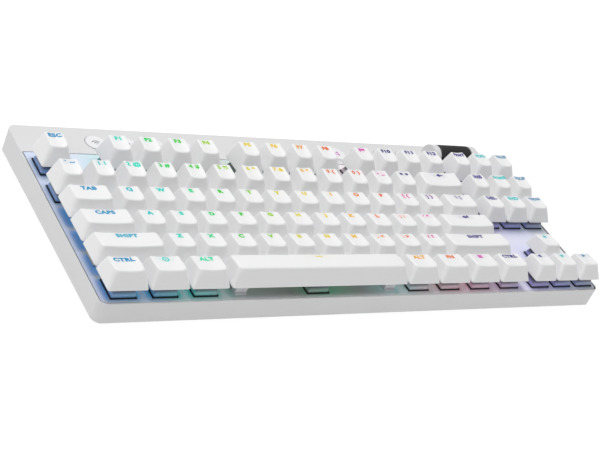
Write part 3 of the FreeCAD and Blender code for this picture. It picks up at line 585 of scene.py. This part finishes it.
def square_loop(half_x, half_y, corner, w):
    """Twelve points round a rectangle with cut corners, anticlockwise."""
    turn = np.arange(4) * math.pi / 2 + math.pi / 4
    sign = np.stack([np.sign(np.cos(turn)), np.sign(np.sin(turn))], axis=1)
    loop = []
    for k, (sx, sy) in enumerate(sign):
        along_y = [(sx * half_x, sy * (half_y - corner)), (sx * (half_x - corner), sy * half_y)]
        begin, end = along_y if k % 2 == 0 else along_y[::-1]
        bend = ((begin[0] + end[0]) / 2 + sx * corner * 0.2, (begin[1] + end[1]) / 2 + sy * corner * 0.2)
        loop += [begin, bend, end]
    return np.array([(x, y, w) for x, y in loop])


def upper_housing_shape():
    """A profile carried round a square: up the sloping outside, over the chamfered top to the slider
    opening, and back down inside at one wall's thickness."""
    sizes = [
        (6.9, 6.9, 0.6, 0.82),
        (6.85, 6.85, 0.6, 2.2),
        (6.65, 6.6, 0.7, 2.9),
        (6.3, 6.25, 0.8, 3.9),
        (6.1, 6.0, 0.9, 4.8),
        (5.9, 5.8, 1.0, 5.7),
        (5.4, 5.2, 1.0, 6.5),
        (4.1, 3.3, 0.4, 6.6),
        (3.75, 2.9, 0.3, 6.35),
        (3.75, 2.9, 0.3, 5.6),
        (4.4, 4.3, 0.5, 5.5),
        (5.7, 5.7, 0.5, 0.82),
    ]
    loops = [square_loop(*size) for size in sizes]
    return np.concatenate(loops), tube_faces(len(loops), 12, wrap_rows=True)[:, ::-1]


def painted_light_and_shade(material, factor, colour_socket=None, colour=(0, 0, 0)):
    """Mixes a second colour, from a socket or plain, over the colour that the material has, by this
    factor: painted light on the caps round the legends, and painted shade on the switch housings."""
    link = material.node_tree.links.new
    base = material.node_tree.nodes["Principled BSDF"].inputs["Base Color"]
    mix = colour_mix(material, B=colour)
    link(factor, mix.inputs["Factor"])
    link(base.links[0].from_socket, mix.inputs["A"])
    if colour_socket:
        link(colour_socket, mix.inputs["B"])
    link(mix.outputs["Result"], base)


smoky = moulded("smoky_housing", (0.40, 0.38, 0.45), 0.22, grain=0.02)
# Painted switch light on the housing's lower part, by the glow attribute.
light_glow(smoky, (0.38, 0.36, 0.42), 0.5, 0.06)
# Painted shade: the housing darkens towards its top, where the cap above it shades it.
painted_light_and_shade(smoky, attribute_value(smoky, "depth"), colour=(0.03, 0.03, 0.045))
points, faces = upper_housing_shape()
mesh, cloud = repeated("switch_tops", points, faces, all_caps[:, :2])
set_attribute(mesh, "glow", np.clip((5.4 - cloud[:, 2]) / 2.5, 0.0, 1))
set_attribute(mesh, "depth", np.clip((cloud[:, 2] - 2.2) / 2.2, 0.0, 0.92))
switch_tops = place_piece("switch_tops", mesh, smoky, "case")
mesh.set_sharp_from_angle(angle=math.radians(35))
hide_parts("switch_upper_housings")
dress("switch_lower_housings", moulded("housing_black", (0.012, 0.012, 0.014), 0.4, mottle=0.2))
dress("key_lights", moulded("light_lens", (0.85, 0.85, 0.78), 0.15, grain=0.0))

SPRING_TURNS = 9
SPRING_RADIUS = 1.8
SPRING_HEIGHT = 5.1
WIRE_RADIUS = 0.16
SPRING_SEAT = -3.75


def coil_shape():
    """A round wire carried along a helix: radius times cosine and sine of the turn, rising evenly, with
    close turns at both ends because the rise is eased."""
    steps = SPRING_TURNS * 12
    t = np.linspace(0, 1, steps + 1)
    turn = 2 * math.pi * SPRING_TURNS * t
    rise = t - 0.05 * np.sin(4 * math.pi * t) / 2
    out = np.stack([np.cos(turn), np.sin(turn), np.zeros_like(t)], axis=1)
    up = np.array([0.0, 0.0, 1.0])
    path = SPRING_RADIUS * out + (SPRING_SEAT + SPRING_HEIGHT * rise)[:, None] * up
    around = np.arange(5) * 2 * math.pi / 5
    ring = np.cos(around)[None, :, None] * out[:, None, :] + np.sin(around)[None, :, None] * up
    grid = path[:, None, :] + WIRE_RADIUS * ring
    grid[0] = path[0]
    grid[-1] = path[-1]
    return grid.reshape(-1, 3), tube_faces(len(t), 5)[:, ::-1]


spring_steel = worked_metal("spring_steel", (0.62, 0.62, 0.63), 0.28)
points, faces = coil_shape()
for node in KEYS:
    mesh, _ = repeated(node + "_springs", points, faces, cap_places(node)[1])
    springs = place_piece(node + "_springs", mesh, spring_steel, "case")
    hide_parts("switch_springs")
    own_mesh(springs)

# ---- Stabilisers ----
# Clear housings snap into the plate each side of a long key, and a bent steel wire joins the pair.
dress("stabilizer_housings", moulded("stabiliser_clear", (0.80, 0.80, 0.83), 0.2, grain=0.02))
dress("stabilizer_wires", spring_steel)

# ---- Keycaps ----
# Each cap is a hollow two-shot moulding of white plastic: four leaning sides, a scooped top that tips
# towards its row's middle, and softly rounded edges. The space bar's top is crowned instead of scooped.
PROFILES = {
    "base": (9.8, 8.7),
    "space": (9.9, 8.7),
    "lower": (9.7, 8.4),
    "home": (9.3, 8.3),
    "upper": (9.7, 9.2),
    "number": (11.1, 12.0),
    "function": (11.2, 12.0),
}
TOP_FRONT, TOP_BACK = -4.625, 7.675
SIDE_LEAN = 0.325
SCOOP = 0.7
CROWN = 0.5
CAP_WALL = 1.35
EDGE_ROUND = 0.9
ARC_POINTS = 6
SIDE_POINTS = 5


def rounded_loop(half_x, front, back, front_radius, back_radius):
    """A rectangle with round corners as points anticlockwise: each corner an arc, each side evenly
    divided."""
    corners = [
        (half_x - back_radius, back - back_radius, back_radius, 0.0),
        (-half_x + back_radius, back - back_radius, back_radius, math.pi / 2),
        (-half_x + front_radius, front + front_radius, front_radius, math.pi),
        (half_x - front_radius, front + front_radius, front_radius, 1.5 * math.pi),
    ]
    arcs = []
    for x, y, radius, start in corners:
        angle = start + np.linspace(0, math.pi / 2, ARC_POINTS)
        arcs.append(np.stack([x + radius * np.cos(angle), y + radius * np.sin(angle)], axis=1))
    loop = []
    for k in range(4):
        begin, end = arcs[k][-1], arcs[(k + 1) % 4][0]
        share = (np.arange(SIDE_POINTS) + 1)[:, None] / (SIDE_POINTS + 1)
        loop += [arcs[k], begin + (end - begin) * share]
    return np.concatenate(loop)


def top_height(profile, half_x, x, y):
    """Height of a cap's top over its skirt: a tilted plane, scooped across X, or crowned across Y on a
    space bar."""
    front, back = PROFILES[profile]
    plane = front + (back - front) * (y - TOP_FRONT) / (TOP_BACK - TOP_FRONT)
    if profile == "space":
        middle = (TOP_FRONT + TOP_BACK) / 2
        return plane + CROWN * (1 - ((y - middle) / (TOP_BACK - middle)) ** 2)
    return plane - SCOOP * (1 - np.clip(x / half_x, -1, 1) ** 2)


def cap_skin(profile, width):
    """The whole skin of a cap as rings round it: from the middle of the top outwards, over the rounded
    edge, down the sides to the skirt, and up the inside to the middle of the roof. Each ring blends two
    rounded rectangles."""
    rise = sum(PROFILES[profile]) / 2
    base_x, base_y = width / 2, CAP_DEPTH / 2
    top_x = base_x - SIDE_LEAN * rise

    def on_top(loop, depth=0.0):
        """Lays a flat loop on the cap's top, or this far below it."""
        height = top_height(profile, top_x, loop[:, 0], loop[:, 1]) - depth
        return np.column_stack([loop, height])

    base = rounded_loop(base_x, -base_y, base_y, 1.1, 1.1)
    base = np.column_stack([base, np.zeros(len(base))])
    edge = on_top(rounded_loop(top_x, TOP_FRONT, TOP_BACK, 3.0, 1.3))
    shelf_loop = rounded_loop(top_x - EDGE_ROUND, TOP_FRONT + EDGE_ROUND, TOP_BACK - EDGE_ROUND, 2.4, 0.9)
    shoulder = base + (edge - base) * (1 - EDGE_ROUND / rise)
    centre = np.array([0.0, (TOP_FRONT + TOP_BACK) / 2])
    rings = [on_top(centre + (shelf_loop - centre) * s) for s in (0.0, 0.12, 0.3, 0.5, 0.7, 0.86)]
    shelf = on_top(shelf_loop)
    for t in np.linspace(0, 1, 6):
        rings.append((1 - t) ** 2 * shelf + 2 * t * (1 - t) * edge + t**2 * shoulder)
    for s in (0.7, 0.4, 0.12, 0.03):
        rings.append(base + (shoulder - base) * s)
    inner_base = rounded_loop(base_x - CAP_WALL, -base_y + CAP_WALL, base_y - CAP_WALL, 0.8, 0.8)
    inner_base = np.column_stack([inner_base, np.zeros(len(inner_base))])
    inner_edge_loop = rounded_loop(top_x - CAP_WALL, TOP_FRONT + CAP_WALL, TOP_BACK - CAP_WALL, 1.2, 0.8)
    inner_edge = on_top(inner_edge_loop, CAP_WALL)
    lip = [0, 0, 0.12]
    rings += [base * [0.985, 0.985, 1], inner_base, inner_base + lip]
    rings += [inner_base + (inner_edge - inner_base) * s for s in (0.5, 0.93, 1.0)]
    rings += [on_top(centre + (inner_edge_loop - centre) * s, CAP_WALL) for s in (0.9, 0.5, 0.0)]
    grid = np.array(rings)
    grid[:, :, 2] += SKIRT
    return grid


def skin_mesh(name, skins, places):
    """Joins closed skins into one mesh. A skin's first and last rings are points: each becomes one
    vertex with a fan of triangles, and the rings between are joined by quads. Faces point outwards."""
    points, faces, first = [], [], 0
    for grid, (x, v) in zip(skins, places):
        rows, columns = grid.shape[:2]
        body = grid[1:-1].reshape(-1, 3)
        cloud = np.concatenate([grid[0, :1], body, grid[-1, :1]]) + [x, v, 0]
        u = np.arange(columns)
        beside = (u + 1) % columns
        last = first + 1 + (rows - 3) * columns
        opening = np.stack([np.full(columns, first), first + 1 + u, first + 1 + beside], axis=1)
        closing = np.stack([np.full(columns, first + len(cloud) - 1), last + beside, last + u], axis=1)
        points.append(cloud)
        faces += opening.tolist() + closing.tolist()
        faces += tube_faces(rows - 2, columns, first=first + 1).tolist()
        first += len(cloud)
    mesh = bpy.data.meshes.new(name)
    mesh.from_pydata(from_deck(np.concatenate(points)).tolist(), [], faces)
    return mesh


# Light colours of the legends, by place along the rows in millimetres.
LEGEND_BAND = [
    (-172, (0.005, 0.22, 0.46)),
    (-156, (0.005, 0.28, 0.50)),
    (-146, (0.005, 0.52, 0.50)),
    (-118, (0.005, 0.66, 0.46)),
    (-111, (0.005, 0.62, 0.24)),
    (-104, (0.02, 0.55, 0.02)),
    (-78, (0.03, 0.55, 0.02)),
    (-68, (0.36, 0.60, 0.01)),
    (-50, (0.68, 0.60, 0.01)),
    (-24, (0.78, 0.56, 0.01)),
    (-6, (0.74, 0.36, 0.01)),
    (8, (0.72, 0.15, 0.01)),
    (32, (0.70, 0.11, 0.03)),
    (44, (0.62, 0.02, 0.34)),
    (57, (0.48, 0.01, 0.42)),
    (63, (0.015, 0.005, 0.16)),
    (110, (0.02, 0.006, 0.20)),
    (130, (0.025, 0.01, 0.22)),
    (142, (0.01, 0.50, 0.50)),
    (152, (0.01, 0.48, 0.50)),
    (164, (0.04, 0.22, 0.40)),
]
# The light pattern leans: the letter rows and the row of the space bar take the colours of places to
# their left.
BAND_SHIFTS = {
    "keys_upper_row": -13.0,
    "keys_home_row": -15.0,
    "keys_lower_row": -8.0,
    "key_right_alt": -34.0,
    "key_function": -34.0,
    "key_menu": -26.0,
    "key_right_control": -26.0,
}
LEGEND_HEIGHT = 2.9
LEGEND_LOW = 3.6
HALO_LIGHT_SHARE = 0.16


def legend_light(material):
    """The legends' colour band, read from the "light_place" attribute."""
    return band_colour(material, LEGEND_BAND, attribute_value(material, "light_place"), BAND_HALF)


def legend_halo(grid, legend):
    """Light that spreads in the plastic round a legend: a bell curve of the distance from the legend's
    box, on the top only."""
    half = 0.8 * len(legend)
    over_x = np.maximum(np.abs(grid[:, :, 0]) - half, 0)
    over_y = np.abs(grid[:, :, 1] - LEGEND_LOW - LEGEND_HEIGHT / 2)
    spread = np.exp(-((over_x / 1.8) ** 2 + (over_y / 1.9) ** 2))
    outer = np.arange(len(grid))[:, None] < 9
    return spread * outer


cap_white = moulded("cap_white", (0.90, 0.90, 0.905), 0.36, grain=0.05, mottle=0.015)
cap_shader = cap_white.node_tree.nodes["Principled BSDF"]
cap_shader.inputs["Coat Weight"].default_value = 0.08
cap_shader.inputs["Coat Roughness"].default_value = 0.3
# Painted light: the legend's light spreading in the cap's plastic round it.
painted_light_and_shade(cap_white, attribute_value(cap_white, "halo"), legend_light(cap_white))
for node, (profile, legends) in KEYS.items():
    width, middles = cap_places(node)
    skin = cap_skin(profile, width)
    mesh = skin_mesh(node + "_caps", [skin] * len(middles), middles)
    halos = [legend_halo(skin, legend) for legend in legends]
    spread = np.concatenate([np.concatenate([h[0, :1], h[1:-1].ravel(), h[-1, :1]]) for h in halos])
    lights = np.repeat([x + BAND_SHIFTS.get(node, 0.0) for x, v in middles], len(spread) // len(middles))
    set_attribute(mesh, "halo", HALO_LIGHT_SHARE * spread)
    set_attribute(mesh, "light_place", lights)
    caps = place_piece(node + "_caps", mesh, cap_white, node)
    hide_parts(node)

# ---- Sliders ----
# Under each cap a moulded slider runs in the switch, and its cross fits the socket inside the cap. A
# long cap has two more, in its stabilisers. They are made of slippery blue-grey plastic and move with
# the cap.


def cross_loop(reach_x, reach_y, arm_x, arm_y, w):
    """Twelve points round an upright cross, anticlockwise."""
    quarter = [(reach_x, arm_y), (arm_x, arm_y), (arm_x, reach_y)]
    loop = []
    for k, (sx, sy) in enumerate(((1, 1), (-1, 1), (-1, -1), (1, -1))):
        corner = [(sx * x, sy * y, w) for x, y in quarter]
        loop += corner if k % 2 == 0 else corner[::-1]
    return np.array(loop)


def slider_skin(half_x, half_y):
    """Rings up a slider: the shoe's block with eased edges, then the cross."""
    shoe = [(0.0, 1.6), (0.94, 1.6), (1.0, 1.9), (1.0, 6.2), (0.95, 6.5)]
    rings = [cross_loop(s * half_x, s * half_y, s * half_x * 0.999, s * half_y * 0.999, w) for s, w in shoe]
    cross = [(1.0, 6.52), (1.0, 9.9), (0.92, 10.2)]
    rings += [cross_loop(2.0 * s, 2.0 * s, 0.55, 0.65, w) for s, w in cross]
    rings.append(rings[-1] * [0, 0, 1])
    return np.array(rings[::-1])


slider_blue = moulded("slider_blue", (0.30, 0.42, 0.55), 0.3, grain=0.02)
for node in KEYS:
    width, middles = cap_places(node)
    outer = stabiliser_places(*middles[0], width)
    skins = [slider_skin(3.5, 2.65)] * len(middles) + [slider_skin(2.5, 2.7)] * len(outer)
    mesh = skin_mesh(node + "_sliders", skins, middles + outer)
    place_piece(node + "_sliders", mesh, slider_blue, node)
    mesh.set_sharp_from_angle(angle=math.radians(35))

# ---- Legends ----
# The legends are the second shot of the cap, in clear plastic that the switch's light shines through.
# They lie flush in the scooped top near its back edge: plain letters, figures, arrows and signs.
LEGEND_PROUD = 0.03
LEGEND_ROOT = -0.2
STROKE = 0.72
# Height of a capital in the lettering at size 1.
CAPITAL = 0.73


def lettering(text, height, widen, heavy):
    """Outline of a text as a flat mesh's points and triangles, scaled to the height of its capitals."""
    curve = bpy.data.curves.new("lettering", "FONT")
    curve.body = text
    curve.size = 1.0
    curve.offset = heavy
    curve.resolution_u = 3
    curve.space_character = 1.12
    curve.extrude = 0.02
    curve.align_x = "CENTER"
    holder = bpy.data.objects.new("lettering", curve)
    bpy.context.scene.collection.objects.link(holder)
    mesh = bpy.data.meshes.new_from_object(holder)
    points = np.zeros(len(mesh.vertices) * 3)
    mesh.vertices.foreach_get("co", points)
    faces = [tuple(polygon.vertices) for polygon in mesh.polygons]
    bpy.data.objects.remove(holder)
    bpy.data.curves.remove(curve)
    bpy.data.meshes.remove(mesh)
    points = points.reshape(-1, 3)
    points[:, 0] -= (points[:, 0].min() + points[:, 0].max()) / 2
    scale = height / CAPITAL
    points[:, :2] *= scale * np.array([widen, 1.0])
    points[:, 2] = np.where(points[:, 2] > 0, LEGEND_PROUD, LEGEND_ROOT)
    return points, faces


def thickening(legend):
    """How far a legend's outline is pushed out: most for one letter, least for fine signs, which would
    fold over."""
    if "*" in legend:
        return 0.02
    if " " in legend:
        return 0.048
    return 0.07 if len(legend) == 1 else 0.06


def strokes(lines, width):
    """Straight strokes as thin closed bars, each an eight-cornered block with its long sides parallel
    to it."""
    points, faces = [], []
    block = [(0, 3, 2, 1), (4, 5, 6, 7), (0, 1, 5, 4), (1, 2, 6, 5), (2, 3, 7, 6), (3, 0, 4, 7)]
    for (x0, y0), (x1, y1) in lines:
        along = np.array([x1 - x0, y1 - y0])
        along = along / np.hypot(*along) * width / 2
        side = np.array([-along[1], along[0]])
        a, b = np.array([x0, y0]) - along * 0.7, np.array([x1, y1]) + along * 0.7
        flat = [a - side, b - side, b + side, a + side]
        first = len(points)
        points += [(*p, LEGEND_ROOT) for p in flat] + [(*p, LEGEND_PROUD) for p in flat]
        faces += [tuple(first + k for k in f) for f in block]
    return np.array(points), faces


def arc_lines(x, y, radius, start, end, steps=10):
    """A circular arc as short straight strokes, its angles in degrees."""
    angle = np.radians(np.linspace(start, end, steps + 1))
    ring = list(zip(x + radius * np.cos(angle), y + radius * np.sin(angle)))
    return list(zip(ring[:-1], ring[1:]))


def turned(lines, quarter_turns):
    """Strokes turned about their middle by quarter turns."""
    c, s = round(math.cos(quarter_turns * math.pi / 2)), round(math.sin(quarter_turns * math.pi / 2))
    return [tuple((c * x - s * y, s * x + c * y) for x, y in line) for line in lines]


ARROWHEAD = [((-1.3, 0), (0.6, y)) for y in (-1.1, -0.55, 0, 0.55, 1.1)] + [((0.6, -1.1), (0.6, 1.1))]
SIGNS = {
    "left": ARROWHEAD,
    "down": turned(ARROWHEAD, 1),
    "right": turned(ARROWHEAD, 2),
    "up": turned(ARROWHEAD, 3),
    "erase": ARROWHEAD + [((0.6, 0), (3.2, 0))],
    "return": ARROWHEAD + [((0.6, y), (3.0, y)) for y in (-0.25, 0.25)]
    + [((x, 0), (x, 1.7)) for x in (2.7, 3.1)],
    "ring": arc_lines(0, 0, 1.6, 0, 360, 16) + [((-0.35, 0), (0.35, 0))],
    "dash": [((-2.0, 0), (2.0, 0))],
    "menu": [((-1.2, y), (1.2, y)) for y in (-1.1, 0, 1.1)] + [((x, -1.1), (x, 1.1)) for x in (-1.2, 1.2)],
}


def legend_mesh(name, profile, width, middles, legends, shift):
    """Each legend, laid on its cap's top: its height follows the top surface, point by point. The
    "light_place" attribute holds the place in the colour band of the light under the key."""
    top_x = width / 2 - SIDE_LEAN * sum(PROFILES[profile]) / 2
    points, faces, lights, first = [], [], [], 0
    for (x, v), legend in zip(middles, legends):
        if legend in SIGNS:
            shape, polygons = strokes(SIGNS[legend], STROKE)
            shape[:, 1] += LEGEND_HEIGHT / 2
        else:
            crowded = len(legend) > 3 and width < CAP_DEPTH + 1
            height = LEGEND_HEIGHT * (0.85 if crowded else 1.0)
            shape, polygons = lettering(legend, height, 1.02 if crowded else 1.12, thickening(legend))
        y = shape[:, 1] + LEGEND_LOW
        height = top_height(profile, top_x, shape[:, 0], y) + shape[:, 2] + SKIRT
        points.append(np.column_stack([shape[:, 0] + x, y + v, height]))
        faces += [tuple(first + k for k in polygon) for polygon in polygons]
        lights.append(np.full(len(shape), x + shift))
        first += len(shape)
    mesh = bpy.data.meshes.new(name)
    mesh.from_pydata(from_deck(np.concatenate(points)).tolist(), [], faces)
    set_attribute(mesh, "light_place", np.concatenate(lights))
    return mesh


LEGEND_SHINE = 0.12
legend_clear = moulded("legend_clear", (0.5, 0.5, 0.5), 0.32, grain=0.02)
legend_shader = legend_clear.node_tree.nodes["Principled BSDF"]
legend_band = legend_light(legend_clear)
legend_clear.node_tree.links.new(legend_band, legend_shader.inputs["Base Color"])
legend_clear.node_tree.links.new(legend_band, legend_shader.inputs["Emission Color"])
legend_shader.inputs["Emission Strength"].default_value = LEGEND_SHINE
for node, (profile, legends) in KEYS.items():
    width, middles = cap_places(node)
    mesh = legend_mesh(node + "_legends", profile, width, middles, legends, BAND_SHIFTS.get(node, 0.0))
    place_piece(node + "_legends", mesh, legend_clear, node)
    mesh.polygons.foreach_set("use_smooth", [False] * len(mesh.polygons))

# ---- Round buttons ----
# Eight push buttons in the back strip, turned with a shallow dish in the top and a thin rounded rim,
# with a flange that holds each one under the strip. Four carry a printed sign in dark ink, and the four
# for sound a lit one.
BUTTON_LINE = 61.1
BUTTON_TOP = 0.8
BUTTON_SIGNS = {
    "button_wireless": arc_lines(0, -1.6, 1.5, 40, 140) + arc_lines(0, -1.6, 3.0, 40, 140)
    + [((0, -1.7), (0, -1.5))],
    "button_pairing": arc_lines(-1.1, 0, 1.4, 60, 300) + arc_lines(1.1, 0, 1.4, -120, 120)
    + [((-1, 0), (1, 0))],
    "button_game_mode": arc_lines(0, 0, 2.4, 0, 360, 18) + [((-0.9, 0), (0.9, 0)), ((0, -0.9), (0, 0.9))],
    "button_backlight": arc_lines(0, 0, 1.1, 0, 360, 14) + [
        ((1.8 * math.cos(a), 1.8 * math.sin(a)), (2.6 * math.cos(a), 2.6 * math.sin(a)))
        for a in np.arange(8) * math.pi / 4
    ],
    "button_previous_track": [((1.6, -1.8), (1.6, 1.8)), ((1.6, 1.8), (-1.2, 0)), ((1.6, -1.8), (-1.2, 0)),
                              ((-1.8, -1.8), (-1.8, 1.8))],
    "button_play_pause": [((-2.2, -1.8), (-2.2, 1.8)), ((-2.2, 1.8), (0.4, 0)), ((-2.2, -1.8), (0.4, 0)),
                          ((1.4, -1.7), (1.4, 1.7)), ((2.5, -1.7), (2.5, 1.7))],
    "button_next_track": [((-1.6, -1.8), (-1.6, 1.8)), ((-1.6, 1.8), (1.2, 0)), ((-1.6, -1.8), (1.2, 0)),
                          ((1.8, -1.8), (1.8, 1.8))],
    "button_mute": [((-2.2, -0.8), (-2.2, 0.8)), ((-2.2, 0.8), (-1.0, 0.8)), ((-2.2, -0.8), (-1.0, -0.8)),
                    ((-1.0, 0.8), (0.2, 1.9)), ((-1.0, -0.8), (0.2, -1.9)), ((0.2, -1.9), (0.2, 1.9)),
                    ((1.3, -0.9), (2.7, 0.9)), ((1.3, 0.9), (2.7, -0.9))],
}


def lathe(profile, steps=48):
    """A turned shape: each (radius, height) of the profile swept once round the upright axis."""
    turn = np.arange(steps) * 2 * math.pi / steps
    radius = np.array([r for r, _ in profile])[:, None]
    height = np.array([h for _, h in profile])[:, None] + 0 * turn
    return np.stack([radius * np.cos(turn), radius * np.sin(turn), height], axis=-1)


def button_profile():
    """From the middle of the dished top, over the rim, down the side, round the flange and the plunger."""
    dish = [(r, BUTTON_TOP - 0.25 * math.cos(math.pi * r / 11.2) ** 2) for r in np.linspace(0, 5.6, 7)]
    bend = np.linspace(0.0, math.pi / 2, 6)
    rim = [(5.9 + 0.6 * math.sin(a), BUTTON_TOP - 0.6 + 0.6 * math.cos(a)) for a in bend]
    stem = [(6.5, 0.0), (6.5, -1.85), (6.55, -1.9), (7.65, -1.9), (7.7, -1.95), (7.7, -2.65), (7.65, -2.7),
            (1.55, -2.7), (1.5, -2.75), (1.5, -3.45), (1.4, -3.5), (0.0, -3.5)]
    return dish + rim + stem


button_white = moulded("button_white", (0.85, 0.85, 0.865), 0.34, grain=0.04)
sign_ink = moulded("sign_ink", (0.06, 0.06, 0.065), 0.5, grain=0.1, mottle=0.4)
LIT_BUTTONS = ("button_previous_track", "button_play_pause", "button_next_track", "button_mute")
LIT_SHIFT = 8.0
for node, lines in BUTTON_SIGNS.items():
    low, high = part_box(node)
    x = (low.x + high.x) / 2 / MM
    mesh = skin_mesh(node + "_disc", [lathe(button_profile())], [(x, BUTTON_LINE)])
    disc = place_piece(node + "_disc", mesh, button_white, node)
    mesh.set_sharp_from_angle(angle=math.radians(40))
    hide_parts(node)
    points, faces = strokes(lines, 0.5)
    radius = np.hypot(points[:, 0], points[:, 1])
    top = BUTTON_TOP - 0.25 * np.cos(math.pi * radius / 11.2) ** 2
    points = np.column_stack([points[:, 0] + x, points[:, 1] + BUTTON_LINE, points[:, 2] + top])
    mesh = bpy.data.meshes.new(node + "_sign")
    mesh.from_pydata(from_deck(points).tolist(), [], faces)
    set_attribute(mesh, "light_place", np.full(len(points), x + LIT_SHIFT))
    if node in LIT_BUTTONS:
        place_piece(node + "_sign", mesh, legend_clear, node)
    else:
        place_piece(node + "_sign", mesh, sign_ink, node)
    mesh.polygons.foreach_set("use_smooth", [False] * len(mesh.polygons))

# ---- Volume roller ----
# A black drum of satin plastic with fine flutes for grip, turning on an axle between the two white
# shoulders.
ROLLER_FLUTES = 60
DRUM_X = 141.17
DRUM_HALF = 13.6
FLUTE_DEPTH = 0.16


def roller_grid():
    """Rings along the axle: the drum's radius, less a cosine flute that fades out towards the rounded
    ends."""
    low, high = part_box("volume_roller")
    left, right = DRUM_X - DRUM_HALF, DRUM_X + DRUM_HALF
    stations = [(low.x / MM, 0.0), (low.x / MM, 1.35), (low.x / MM + 0.15, 1.5), (left - 0.01, 1.5)]
    bend = np.linspace(0, math.pi / 2, 6)
    stations += [(left, 6.9)]
    stations += [(left + 1.0 * (1 - math.cos(a)), 7.0 + 1.0 * math.sin(a)) for a in bend]
    stations += [(x, 8.0) for x in np.linspace(left + 1.6, right - 1.6, 7)]
    stations += [(right - 1.0 * (1 - math.cos(a)), 7.0 + 1.0 * math.sin(a)) for a in bend[::-1]]
    stations += [(right, 6.9)]
    stations += [(right + 0.01, 1.5)]
    stations += [(high.x / MM - 0.15, 1.5), (high.x / MM, 1.35), (high.x / MM, 0.0)]
    turn = np.arange(ROLLER_FLUTES * 4) * 2 * math.pi / (ROLLER_FLUTES * 4)
    x = np.array([s for s, _ in stations])[:, None]
    radius = np.array([r for _, r in stations])[:, None]
    fade = np.clip((DRUM_HALF - 1.2 - np.abs(x - DRUM_X)) / 0.5, 0, 1)
    groove = FLUTE_DEPTH * fade * (0.5 + 0.5 * np.cos(ROLLER_FLUTES * turn))[None, :]
    reach = radius - groove
    grid_x = np.broadcast_to(x, reach.shape)
    return np.stack([grid_x, -reach * np.cos(turn), reach * np.sin(turn)], axis=-1)


ROLLER_AXIS = 2.0
roller_black = moulded("roller_black", (0.016, 0.016, 0.018), 0.38, grain=0.08, mottle=0.15)
grid = roller_grid()
grid[:, :, 2] += ROLLER_AXIS
mesh = skin_mesh("roller_drum", [grid], [(0.0, BUTTON_LINE)])
drum = place_piece("roller_drum", mesh, roller_black, "volume_roller")
mesh.set_sharp_from_angle(angle=math.radians(50))
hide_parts("volume_roller")
dress("volume_encoder", moulded("encoder_black", (0.03, 0.03, 0.033), 0.5, mottle=0.2))

# ---- Inside and back edge ----
# Circuit boards with a dark solder mask, a foil-wrapped battery, and at the back edge the steel
# charging socket and the black knob of the power switch.
board_black = moulded("board_black", (0.012, 0.02, 0.018), 0.3, grain=0.05, mottle=0.5, grain_size=0.002)
dress("circuit_board", board_black)
dress("control_boards", board_black)
dress("battery", worked_metal("battery_foil", (0.35, 0.37, 0.42), 0.35))
dress("charging_socket", worked_metal("socket_steel", (0.66, 0.66, 0.68), 0.3))
softened("power_switch_slider", "power_knob", 0.0002, roller_black, "power_switch_slider")
